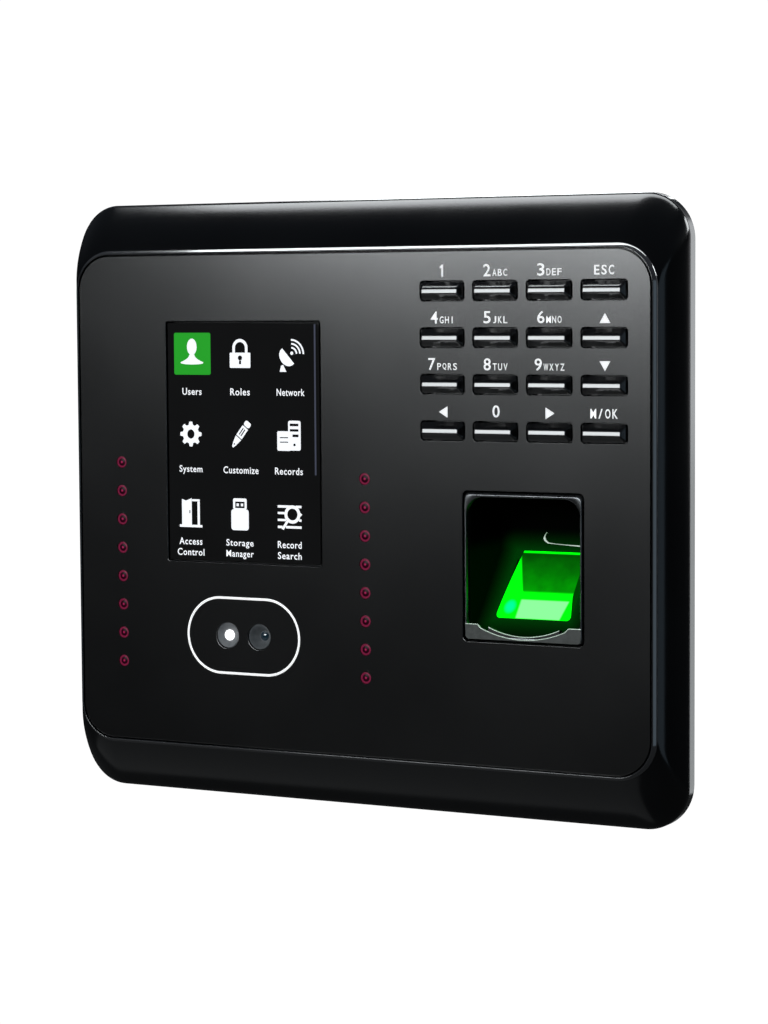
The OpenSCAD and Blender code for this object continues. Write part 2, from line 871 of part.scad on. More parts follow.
module keypad_board() {
    color("darkgreen") upright() difference() {
        translate([key_x, key_y, 0]) slab(keypad_z, mat_z) square([keypad_w, keypad_h], center = true);
        for (p = keypad_posts) {
            post(p.x, p.y, keypad_z - 1, mat_z + 1, small_screw_d + 0.2);
        }
    }
}

// ---- Main board and its parts ----

module main_board() {
    color("darkgreen") upright() difference() {
        span([main_left, main_low, main_z], [main_right, main_high, main_top]);
        for (p = main_posts) {
            post(p.x, p.y, main_z - 1, main_top + 1, small_screw_d + 0.2);
        }
        post(tamper_x, tamper_y, main_z - 1, main_top + 1, tamper_d + 2 * tamper_gap);
    }
}

// Chips, ribbon sockets and the reset switch, as separate blocks on the main board
module board_chips() {
    color([0.1, 0.1, 0.12]) upright() {
        span([-22, 4, main_top], [-6, 20, main_top + processor_t]);
        span([0, 6, main_top], [10, 16, main_top + chip_t]);
        span([-24, -16, main_top], [-12, -8, main_top + chip_t]);
        span([screen_x - 11, -24, main_top], [screen_x + 11, -20, socket_top]);
        span([13.4, 27, main_top], [17, 41, socket_top]);
        span([sensor_socket_x, -20, main_top], [sensor_socket_x + 3.5, -8, imager_back - 0.3]);
        span([reset_x - 3, reset_switch_y, main_top], [reset_x + 3, reset_switch_y + 5, main_top + 4.4]);
    }
}

module lock_relay() {
    color("royalblue") upright() translate([relay_x, relay_y, 0]) slab(main_top, main_top + relay_t)
        square([relay_w, relay_h], center = true);
}

// Network socket with its mouth facing down
module network_jack() {
    color("silver") upright() translate([jack_x, port_front, main_top]) difference() {
        translate([-jack_w / 2, 0, 0]) cube([jack_w, jack_l, jack_t]);
        translate([-5.9, -1, 2.2]) cube([11.8, 15, 7]);
        translate([-3.2, -1, 9]) cube([6.4, 9, 2.4]);
    }
}

// Memory stick socket with its mouth facing down
module usb_port() {
    color("silver") upright() translate([usb_x, port_front, main_top]) {
        difference() {
            translate([-usb_w / 2, 0, 0]) cube([usb_w, usb_l, usb_t]);
            translate([-6.1, -1, 0.8]) cube([12.2, 11, 5.2]);
        }
        translate([-5.2, 1.2, 1]) cube([10.4, 10, 1.9]);
    }
}

// Low-voltage supply socket with its mouth facing down
module power_jack() {
    color([0.08, 0.08, 0.08]) upright() translate([power_x, port_front, main_top]) {
        difference() {
            translate([-power_w / 2, 0, 0]) cube([power_w, power_l, power_t]);
            translate([0, 10, power_t / 2]) rotate([90, 0, 0]) cylinder(h = 11, d = power_bore_d);
        }
        translate([0, 10.5, power_t / 2]) rotate([90, 0, 0]) cylinder(h = 9.5, d = power_pin_d);
    }
}

// Screw terminals for the door lock and the reader lines
module terminal_block() {
    w = ways * way_pitch;
    color("seagreen") upright() translate([terminal_x, port_front, main_top]) difference() {
        translate([-w / 2, 0, 0]) cube([w, terminal_l, terminal_t]);
        for (i = [0 : ways - 1]) {
            translate([(i + 0.5) * way_pitch - w / 2, 6, 2.6]) rotate([90, 0, 0])
                cylinder(h = 7, d = 2.6);
            translate([(i + 0.5) * way_pitch - w / 2, 5.2, terminal_t - 1.6]) cylinder(h = 2, d = 2.8);
        }
    }
}

module battery_holder() {
    color([0.1, 0.1, 0.1]) upright() translate([battery_x, battery_y, 0]) difference() {
        slab(main_top, main_top + 4.4) round_rect(cell_d + 3, cell_d + 3, 3);
        post(0, 0, main_top + 1, main_top + 5, cell_d + 0.2);
    }
}

module backup_battery() {
    color("silver") upright() post(battery_x, battery_y, main_top + 1, main_top + 1 + cell_t, cell_d);
}

// Speaker behind the grille in the rear cover
module speaker() {
    color([0.15, 0.15, 0.15]) upright() translate([speaker_x, speaker_y, 0]) {
        cylinder_between(floor_top, floor_top + 2.5, speaker_d);
        cylinder_between(floor_top + 2.5 - skin, floor_top + speaker_t, speaker_d * 0.6);
    }
}

module buzzer() {
    color([0.05, 0.05, 0.05]) upright() translate([buzzer_x, buzzer_y, 0]) difference() {
        cylinder_between(main_top, main_top + 7.5, 12);
        cylinder_between(main_top + 6, main_top + 8, 2.4);
    }
}

// Tamper switch that sits over a hole in the main board
module tamper_switch() {
    color([0.12, 0.12, 0.2]) upright() difference() {
        span([tamper_x - 4, tamper_y - 4, main_top], [tamper_x + 4, tamper_y + 4, main_top + tamper_body_t]);
        post(tamper_x, tamper_y, main_top - 1, tamper_roof, tamper_d + 2 * tamper_gap);
    }
}

// Plunger that the wall bracket holds pressed
module tamper_plunger() {
    color("ivory") upright() post(tamper_x, tamper_y, bracket_t, tamper_roof - tamper_travel - 0.4, tamper_d);
}

// Recessed service button in the lower wall of the tub
module reset_button() {
    back = reset_switch_y - reset_travel - 0.1;
    front = -tub_bottom - reset_proud;
    color("dimgray") upright() translate([reset_x, back, reset_z]) rotate([90, 0, 0])
        cylinder(h = back - front, d = reset_d);
}

// Flat cables from the main board to the display, the keypad and the sensor
module ribbon_cables() {
    t = 0.3;
    half = 10;
    pad_low = 28;
    lcd_entry = lcd_back + 0.9;
    lcd_y = screen_y - frame_h / 2 - 1.2;
    pad_x = key_x - keypad_w / 2 - 0.9;
    color("ivory") upright() {
        span([screen_x - half, lcd_y, socket_top], [screen_x + half, lcd_y + t, lcd_entry]);
        span([screen_x - half, lcd_y, lcd_entry], [screen_x + half, screen_y - lcd_h / 2, lcd_entry + t]);
        span([pad_x, pad_low, socket_top], [pad_x + t, pad_low + 12, keypad_z]);
        span([pad_x, pad_low, keypad_z - t], [pad_x + 4, pad_low + 12, keypad_z]);
        span([sensor_socket_x + 1, -18, imager_back - t], [sensor_socket_x + 10, -10, imager_back]);
    }
}

// ---- Rear cover and wall bracket ----

// Outline of the tub
module tub_outline(grow) {
    translate([0, (tub_top - tub_bottom) / 2])
        round_rect(tub_w + 2 * grow, tub_top + tub_bottom + 2 * grow, 6 + grow);
}

// Everything that is cut through the tub
module cover_holes() {
    for (p = case_posts) {
        post(p.x, p.y, rim_plate_z - 1, rim_plate_top + 1, case_screw_d + 0.3);
    }
    for (p = main_posts) {
        post(p.x, p.y, main_top - small_screw_l, main_z + 1, small_screw_d);
    }
    for (x = [-hook_x, hook_x]) {
        span([x - hook_w / 2 - 0.5, hook_y - hook_reach - 0.5, tub_z - 1],
            [x + hook_w / 2 + 0.5, hook_y + bracket_t + hook_clear, floor_top + 1]);
    }
    post(tamper_x, tamper_y, tub_z - 1, floor_top + 1, tamper_d + 2 * tamper_gap);
    for (i = [-2 : 2], j = [-2 : 2]) {
        post(speaker_x + i * 4, speaker_y + j * 4, tub_z - 1, floor_top + 1, 2);
    }
}

// Port windows in the tub's lower wall
module port_window(x, w, low, high) {
    span([x - w / 2 - port_gap, -tub_bottom - 1, low - port_gap],
        [x + w / 2 + port_gap, -tub_bottom + cover_t + 1, high + port_gap]);
}

module rear_cover() {
    color([0.09, 0.09, 0.1]) upright() difference() {
        union() {
            difference() {
                union() {
                    slab(rim_plate_z, rim_plate_top)
                        round_rect(inner_w - 2 * cover_gap, inner_h - 2 * cover_gap, housing_r - side_t);
                    slab(tub_z, rim_plate_z + skin) tub_outline(0);
                }
                slab(floor_top, rim_plate_top + 1) tub_outline(-cover_t);
            }
            for (p = main_posts) {
                post(p.x, p.y, floor_top - skin, main_z, 6);
            }
            intersection() {
                translate([tab_x, -tub_bottom + cover_t + 6, tab_z]) rotate([90, 0, 0])
                    cylinder(h = 6 + skin, d = boss_d);
                span([tab_x - 10, -tub_bottom, floor_top - skin], [tab_x + 10, 0, rim_plate_z]);
            }
        }
        cover_holes();
        port_window(jack_x, jack_w, main_top, main_top + jack_t);
        port_window(usb_x, usb_w, main_top, main_top + usb_t);
        port_window(power_x, power_w, main_top, main_top + power_t);
        port_window(terminal_x, ways * way_pitch, main_top, main_top + terminal_t);
        translate([reset_x, -tub_bottom + cover_t + 1, reset_z]) rotate([90, 0, 0])
            cylinder(h = cover_t + 2, d = reset_d + 2 * reset_gap);
        translate([tab_x, -tub_bottom + cover_t + 5, tab_z]) rotate([90, 0, 0])
            cylinder(h = cover_t + 6, d = security_d);
    }
}

module wall_bracket() {
    tab_y = -tub_bottom - tab_gap;
    color("lightgray") upright() difference() {
        union() {
            slab(0, bracket_t) round_rect(bracket_w, bracket_h, 5);
            for (x = [-hook_x, hook_x]) {
                span([x - hook_w / 2, hook_y, bracket_t - skin],
                    [x + hook_w / 2, hook_y + bracket_t, floor_top + 0.2 + 1.2]);
                span([x - hook_w / 2, hook_y, floor_top + 0.2],
                    [x + hook_w / 2, hook_y + bracket_t + hook_reach, floor_top + 0.2 + 1.2]);
            }
            span([tab_x - tab_w / 2, tab_y - bracket_t, bracket_t - skin],
                [tab_x + tab_w / 2, tab_y, tab_out]);
        }
        for (x = [-1, 1], y = [-1, 1]) {
            post(x * wall_hole_x / 2, y * wall_hole_y / 2, -1, bracket_t + 1, wall_hole_d);
        }
        translate([0, window_y, 0]) slab(-1, bracket_t + 1) round_rect(window_w, window_h, 3);
        translate([speaker_x, speaker_y, 0]) slab(-1, bracket_t + 1) circle(8);
        translate([tab_x, tab_y + 1, tab_z]) rotate([90, 0, 0])
            cylinder(h = bracket_t + 2, d = security_d + 2 * security_gap);
    }
}

// ---- Screws ----

// Pan-head screw whose head rests on level 0 and whose shank runs out of the wall
module pan_screw(d, l, head_d, head_t) {
    cylinder(h = l, d = d);
    difference() {
        translate([0, 0, -head_t]) cylinder(h = head_t, d = head_d);
        translate([0, 0, -head_t - skin]) linear_extrude(0.8) {
            square([head_d * 0.6, 0.7], center = true);
            square([0.7, head_d * 0.6], center = true);
        }
    }
}

module small_screw(p, level) {
    translate([p.x, p.y, level]) pan_screw(small_screw_d, small_screw_l, small_head_d, small_head_t);
}

module case_screws() {
    color("silver") upright() for (p = case_posts) {
        translate([p.x, p.y, rim_plate_z]) pan_screw(case_screw_d, case_screw_l, case_head_d, case_head_t);
    }
}

module board_screws() {
    color("silver") upright() {
        for (p = keypad_posts) {
            small_screw(p, keypad_z);
        }
        for (p = camera_posts) {
            small_screw(p, camera_top - board_t);
        }
        for (p = sensor_posts) {
            small_screw(p, ear_top - board_t);
        }
        for (p = main_posts) {
            translate([p.x, p.y, main_top]) mirror([0, 0, 1])
                pan_screw(small_screw_d, small_screw_l, small_head_d, small_head_t);
        }
    }
}

module security_screw() {
    color("silver") upright() translate([tab_x, -tub_bottom - tab_gap - bracket_t, tab_z]) rotate([-90, 0, 0])
        pan_screw(security_d, 7, case_head_d, case_head_t);
}

front_shell();
face_plate();
screen_window();
screen_gasket();
lcd_panel();
lcd_frame();
camera_ring();
lens_barrel_left();
lens_barrel_right();
camera_lenses();
camera_board();
led_board_left();
led_board_right();
infrared_leds_left();
infrared_leds_right();
sensor_bezel();
sensor_housing();
sensor_prism();
sensor_light();
sensor_imager();
keypad_mat();
keypad_board();
main_board();
board_chips();
lock_relay();
network_jack();
usb_port();
power_jack();
terminal_block();
backup_battery();
battery_holder();
speaker();
buzzer();
tamper_switch();
tamper_plunger();
reset_button();
ribbon_cables();
rear_cover();
wall_bracket();
case_screws();
board_screws();
security_screw();
key_1();
key_2();
key_3();
key_escape();
key_4();
key_5();
key_6();
key_up();
key_7();
key_8();
key_9();
key_down();
key_left();
key_0();
key_right();
key_menu();
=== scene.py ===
import math
import bpy
import bmesh
import numpy as np
from mathutils import Matrix, Vector


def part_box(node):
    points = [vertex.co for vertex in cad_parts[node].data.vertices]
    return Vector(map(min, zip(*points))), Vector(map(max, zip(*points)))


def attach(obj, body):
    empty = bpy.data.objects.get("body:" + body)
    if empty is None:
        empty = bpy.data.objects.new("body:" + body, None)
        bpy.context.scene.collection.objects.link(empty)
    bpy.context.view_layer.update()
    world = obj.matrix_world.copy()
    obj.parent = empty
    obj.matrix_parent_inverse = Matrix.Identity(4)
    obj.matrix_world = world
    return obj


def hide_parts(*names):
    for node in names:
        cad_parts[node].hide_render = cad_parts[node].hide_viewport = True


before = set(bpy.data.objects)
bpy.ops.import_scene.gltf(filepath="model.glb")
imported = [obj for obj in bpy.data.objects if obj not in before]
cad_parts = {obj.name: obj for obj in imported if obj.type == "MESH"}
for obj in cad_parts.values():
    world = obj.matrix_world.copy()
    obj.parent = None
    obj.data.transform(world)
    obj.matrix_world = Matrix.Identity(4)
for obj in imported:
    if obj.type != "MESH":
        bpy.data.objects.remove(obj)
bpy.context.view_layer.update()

print("frame loaded, nodes:", len(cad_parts))

scene = bpy.context.scene
scene.view_settings.view_transform = "Standard"

# Every size below is in millimetres on the panel: x across, up, and out of the wall.
# toRow turns that into metres in the row's frame, where out of the wall is -Y.


def toRow(points):
    points = np.asarray(points, dtype=float)
    return np.stack([points[..., 0], -points[..., 2], points[..., 1]], axis=-1) * 0.001


def panelBox(node):        # a node's place and size on the panel
    low, high = [np.array(corner) * 1000 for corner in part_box(node)]
    return {"x": (low[0] + high[0]) / 2, "up": (low[2] + high[2]) / 2,
            "w": high[0] - low[0], "h": high[2] - low[2], "low": -high[1], "high": -low[1]}


# ---- camera ----

viewpoint = {"place": (0.3271, -0.6282, 0.0485), "turn": 28.08, "tip": 4.18, "roll": -0.36,
             "lens": 99.14, "sensor": 36, "near": 0.01}


def aimCamera(spot):
    # back points from the object to the camera; right and up follow from it, then both roll about it
    turn, tip, roll = (math.radians(spot[k]) for k in ("turn", "tip", "roll"))
    back = Vector((math.sin(turn) * math.cos(tip), -math.cos(turn) * math.cos(tip), math.sin(tip)))
    right = Vector((math.cos(turn), math.sin(turn), 0))
    up = back.cross(right)
    rolledRight = math.cos(roll) * right + math.sin(roll) * up
    rolledUp = math.cos(roll) * up - math.sin(roll) * right
    matrix = Matrix((rolledRight, rolledUp, back)).transposed().to_4x4()
    matrix.translation = spot["place"]
    lens = bpy.data.cameras.new("camera")
    lens.lens, lens.sensor_width, lens.clip_start = spot["lens"], spot["sensor"], spot["near"]
    camera = bpy.data.objects.new("camera", lens)
    camera.matrix_world = matrix
    scene.collection.objects.link(camera)
    scene.camera = camera


aimCamera(viewpoint)
print("camera set")

# ---- shaping tools ----


def gridFaces(rows, cols, closeRows=False):
    # four-sided faces between neighbouring rows and round each row, points numbered row by row
    r, c = np.meshgrid(np.arange(rows if closeRows else rows - 1), np.arange(cols), indexing="ij")
    nextRow, nextCol = (r + 1) % rows, (c + 1) % cols
    corners = [r * cols + c, r * cols + nextCol, nextRow * cols + nextCol, nextRow * cols + c]
    return np.stack(corners, axis=-1).reshape(-1, 4).tolist()


def loft(rings, closed=False):
    # a skin over closed rings of equal count, ends capped unless the last ring meets the first
    rows, cols = rings.shape[:2]
    faces = gridFaces(rows, cols, closed)
    if not closed:
        faces.append(list(range(cols - 1, -1, -1)))
        faces.append(list(range((rows - 1) * cols, rows * cols)))
    return rings.reshape(-1, 3), faces


def roundedRings(profile, centre=(0, 0), arcSteps=12, sideSteps=(0.01, 0.06, 0.25, 0.5, 0.75, 0.94, 0.99)):
    # profile rows are (width, height, corner radius, up shift, out). Each ring is four quarter
    # circles round the corners of a smaller rectangle, with points spread along the straight sides
    profile = np.asarray(profile, dtype=float)
    w, h, r, shift, out = (profile[:, i][:, None, None] for i in range(5))
    signX, signY = np.array([1, -1, -1, 1])[None, :, None], np.array([1, 1, -1, -1])[None, :, None]
    angle = (np.arange(4)[:, None] + np.linspace(0, 1, arcSteps + 1)[None, :])[None] * math.pi / 2
    x = signX * (w / 2 - r) + r * np.cos(angle)
    y = signY * (h / 2 - r) + r * np.sin(angle)
    arcs = np.stack([x, y], axis=-1)
    start, stop = arcs[:, :, -1:, :], np.roll(arcs, -1, axis=1)[:, :, :1, :]
    steps = np.asarray(sideSteps)[None, None, :, None]
    sides = start + (stop - start) * steps
    ring = np.concatenate([arcs, sides], axis=2).reshape(len(profile), -1, 2)
    ups = ring[..., 1] + shift[:, 0] + centre[1]
    return np.stack([ring[..., 0] + centre[0], ups, np.broadcast_to(out[:, 0], ups.shape)], axis=-1)


def turnedRings(profile, centre=(0, 0), steps=32):
    # profile rows are (radius, out), carried round an axis that points out of the wall
    profile = np.asarray(profile, dtype=float)
    angle = np.linspace(0, 2 * math.pi, steps, endpoint=False)
    x = centre[0] + profile[:, :1] * np.cos(angle)
    y = centre[1] + profile[:, :1] * np.sin(angle)
    return np.stack([x, y, np.broadcast_to(profile[:, 1:2], x.shape)], axis=-1)


def repeated(points, faces, shifts):
    # copies of one shape, each moved by its own (x, up, out)
    shifts = np.asarray(shifts, dtype=float)
    everyPoint = (points[None] + shifts[:, None, :]).reshape(-1, 3)
    everyFace = [[i + n * len(points) for i in face] for n in range(len(shifts)) for face in faces]
    return everyPoint, everyFace


def joined(shapes):
    points, faces, count = [], [], 0
    for shapePoints, shapeFaces in shapes:
        faces += [[i + count for i in face] for face in shapeFaces]
        points.append(shapePoints)
        count += len(shapePoints)
    return np.concatenate(points), faces


def meshArrays(mesh):
    # points and faces of a mesh after its doubled points are merged and its faces turned outwards
    solid = bmesh.new()
    solid.from_mesh(mesh)
    bmesh.ops.remove_doubles(solid, verts=solid.verts, dist=1e-4)
    bmesh.ops.dissolve_degenerate(solid, dist=1e-5, edges=solid.edges)
    bmesh.ops.recalc_face_normals(solid, faces=solid.faces)
    solid.verts.index_update()
    points = np.array([v.co[:] for v in solid.verts])
    faces = [[v.index for v in f.verts] for f in solid.faces]
    solid.free()
    bpy.data.meshes.remove(mesh)
    return points, faces


def cutShape(outlines, low, high, edge=0.0):
    # closed outlines filled flat, an outline inside another being a hole, with a thickness and a
    # rounded edge; made a mesh while it still lies at the origin
    curve = bpy.data.curves.new("outline", "CURVE")
    curve.dimensions, curve.fill_mode = "2D", "BOTH"
    for outline in outlines:
        outline = np.asarray(outline, dtype=float)
        line = curve.splines.new("POLY")
        line.points.add(len(outline) - 1)
        spots = np.zeros((len(outline), 4))
        spots[:, :2], spots[:, 3] = outline[:, :2], 1
        line.points.foreach_set("co", spots.ravel())
        line.use_cyclic_u = True
    curve.extrude = (high - low) / 2 - edge
    curve.bevel_depth, curve.bevel_resolution, curve.offset = edge, 2, -edge
    holder = bpy.data.objects.new("outline", curve)
    points, faces = meshArrays(bpy.data.meshes.new_from_object(holder))
    bpy.data.objects.remove(holder)
    points[:, 2] += (high + low) / 2
    return points, faces


def wordShape(words, width, height, x, up, low, high, bold=0.012, spread=1.12):
    # words made a mesh, then stretched into a box whose left end is x and whose foot is up
    font = bpy.data.curves.new("words", "FONT")
    font.body, font.extrude, font.resolution_u = words, 0.5, 3
    font.offset, font.space_character = bold, spread
    holder = bpy.data.objects.new("words", font)
    points, faces = meshArrays(bpy.data.meshes.new_from_object(holder))
    bpy.data.objects.remove(holder)
    size = points.max(axis=0) - points.min(axis=0)
    points = (points - points.min(axis=0)) / size * np.array([width, height, high - low])
    return points + np.array([x, up, low]), faces


def addPiece(name, shape, materials, body="terminal", stands=(), sharp=35, pick=None):
    points, faces = shape
    mesh = bpy.data.meshes.new(name)
    mesh.from_pydata(toRow(points).tolist(), [], faces)
    mesh.update()
    mesh.set_sharp_from_angle(angle=math.radians(sharp))
    facing = np.array([face.normal.y for face in mesh.polygons])
    mesh.polygons.foreach_set("use_smooth", np.abs(facing) < 0.99999)        # level faces stay flat
    for material in materials if isinstance(materials, list) else [materials]:
        mesh.materials.append(material)
    if pick is not None:
        mesh.polygons.foreach_set("material_index", np.asarray(pick, dtype=np.int32))
    mesh.update()
    piece = bpy.data.objects.new(name, mesh)
    scene.collection.objects.link(piece)
    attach(piece, body)
    if stands:
        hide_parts(*stands)
    return piece


def circleLine(x, up, radius, steps=32):
    angle = np.linspace(0, 2 * math.pi, steps, endpoint=False)
    return np.stack([x + radius * np.cos(angle), up + radius * np.sin(angle)], axis=-1)


def rectLine(x, up, w, h, r, arcSteps=6):
    return roundedRings([(w, h, r, 0, 0)], (x, up), arcSteps, (0.5,))[0, :, :2]


def turnLine(line, degrees, x=0, up=0):        # turned about the origin, then moved
    angle = math.radians(degrees)
    spin = np.array([(math.cos(angle), -math.sin(angle)), (math.sin(angle), math.cos(angle))])
    return np.asarray(line, dtype=float) @ spin.T + np.array([x, up])


# ---- finishes ----


def newGroup(name, inputs, outputs):
    group = bpy.data.node_groups.new(name, "ShaderNodeTree")
    for label, kind, value in inputs:
        socket = group.interface.new_socket(label, in_out="INPUT", socket_type=kind)
        if value is not None:
            socket.default_value = value
    for label, kind in outputs:
        group.interface.new_socket(label, in_out="OUTPUT", socket_type=kind)
    return group, group.nodes.new("NodeGroupInput"), group.nodes.new("NodeGroupOutput")


def node(tree, kind, links=(), **settings):
    # a node with its settings, then its inputs as (input, output or value)
    made = tree.nodes.new(kind)
    for key, value in settings.items():
        setattr(made, key, value)
    for key, value in links:
        if isinstance(value, bpy.types.NodeSocket):
            tree.links.new(value, made.inputs[key])
        else:
            made.inputs[key].default_value = value
    return made


def groupNode(tree, group, links):
    return node(tree, "ShaderNodeGroup", links, node_tree=group)


def remap(tree, value, low, high, start=0.0, stop=1.0, **settings):
    return node(tree, "ShaderNodeMapRange", [("Value", value), ("From Min", low), ("From Max", high),
                                             ("To Min", start), ("To Max", stop)], **settings).outputs[0]


def step(tree, value, low, high):        # a smooth step, falling where low is above high
    return remap(tree, value, low, high, interpolation_type="SMOOTHSTEP")


def maths(tree, operation, *values, **settings):
    return node(tree, "ShaderNodeMath", list(enumerate(values)), operation=operation, **settings).outputs[0]


def mixed(tree, factor, first, second):        # two colours mixed; 6, 7 and 2 are the node's colour sockets
    return node(tree, "ShaderNodeMix", [("Factor", factor), (6, first), (7, second)],
                data_type="RGBA").outputs[2]


def noise(tree, place, scale, detail):
    return node(tree, "ShaderNodeTexNoise", [("Vector", place), ("Scale", scale),
                                             ("Detail", detail)]).outputs["Fac"]


def colour(rgb):
    return (rgb[0], rgb[1], rgb[2], 1.0)


def mouldGrainGroup():        # fine spark-eroded grain of moulded plastic, or of sprayed paint
    group, source, result = newGroup(
        "mouldGrain",
        [("Vector", "NodeSocketVector", None), ("Scale", "NodeSocketFloat", 4000.0),
         ("Pits", "NodeSocketFloat", 0.4)],
        [("Height", "NodeSocketFloat")])
    fine = noise(group, source.outputs["Vector"], source.outputs["Scale"], 2.0)
    coarse = maths(group, "MULTIPLY", source.outputs["Scale"], 0.45)
    cells = node(group, "ShaderNodeTexVoronoi", [("Vector", source.outputs["Vector"]), ("Scale", coarse)],
                 feature="SMOOTH_F1")
    mix = node(group, "ShaderNodeMix", [("Factor", source.outputs["Pits"]), ("A", fine),
                                        ("B", cells.outputs["Distance"])], data_type="FLOAT")
    group.links.new(mix.outputs["Result"], result.inputs["Height"])
    return group


def toneDriftGroup():        # slow change of tone and gloss over a face, with fine flecks
    group, source, result = newGroup(
        "toneDrift",
        [("Vector", "NodeSocketVector", None), ("Base", "NodeSocketColor", None),
         ("Tint", "NodeSocketColor", None), ("Scale", "NodeSocketFloat", 60.0),
         ("Rough Low", "NodeSocketFloat", 0.3), ("Rough High", "NodeSocketFloat", 0.4),
         ("Flecks", "NodeSocketFloat", 0.1)],
        [("Color", "NodeSocketColor"), ("Roughness", "NodeSocketFloat")])
    drift = noise(group, source.outputs["Vector"], source.outputs["Scale"], 3.0)
    flecks = noise(group, source.outputs["Vector"], 2600.0, 1.0)
    fleckMask = remap(group, flecks, 0.6, 0.75, 0.0, source.outputs["Flecks"])
    both = maths(group, "ADD", remap(group, drift, 0.3, 0.7), fleckMask, use_clamp=True)
    tone = mixed(group, both, source.outputs["Base"], source.outputs["Tint"])
    gloss = remap(group, drift, 0.3, 0.7, source.outputs["Rough Low"], source.outputs["Rough High"])
    group.links.new(tone, result.inputs["Color"])
    group.links.new(gloss, result.inputs["Roughness"])
    return group


mouldGrain = mouldGrainGroup()
toneDrift = toneDriftGroup()


def newMaterial(name):
    material = bpy.data.materials.new(name)
    material.use_nodes = True
    tree = material.node_tree
    tree.nodes.clear()
    surface = tree.nodes.new("ShaderNodeBsdfPrincipled")
    result = tree.nodes.new("ShaderNodeOutputMaterial")
    tree.links.new(surface.outputs["BSDF"], result.inputs["Surface"])
    place = tree.nodes.new("ShaderNodeTexCoord").outputs["Object"]
    return material, tree, surface, place


def layTone(tree, surface, place, base, tint, rough, drift=60.0, flecks=0.1):
    tone = groupNode(tree, toneDrift, [("Vector", place), ("Base", colour(base)), ("Tint", colour(tint)),
                                       ("Scale", drift), ("Rough Low", rough[0]), ("Rough High", rough[1]),
                                       ("Flecks", flecks)])
    tree.links.new(tone.outputs["Color"], surface.inputs["Base Color"])
    tree.links.new(tone.outputs["Roughness"], surface.inputs["Roughness"])


def makeFinish(name, base, tint, rough, grain=0.0, grainScale=4000.0, pits=0.4, drift=60.0, flecks=0.1,
               metal=0.0, specular=0.5, coat=0.0, coatRough=0.05, glow=None, glowStrength=0.0):
    material, tree, surface, place = newMaterial(name)
    layTone(tree, surface, place, base, tint, rough, drift, flecks)
    surface.inputs["Metallic"].default_value = metal
    surface.inputs["Specular IOR Level"].default_value = specular
    surface.inputs["Coat Weight"].default_value = coat
    surface.inputs["Coat Roughness"].default_value = coatRough
    if glow:
        surface.inputs["Emission Color"].default_value = colour(glow)
        surface.inputs["Emission Strength"].default_value = glowStrength
    if grain:
        height = groupNode(tree, mouldGrain, [("Vector", place), ("Scale", grainScale), ("Pits", pits)])
        bump = node(tree, "ShaderNodeBump", [("Height", height.outputs["Height"]), ("Strength", grain),
                                             ("Distance", 0.00005)])
        tree.links.new(bump.outputs["Normal"], surface.inputs["Normal"])
    return material


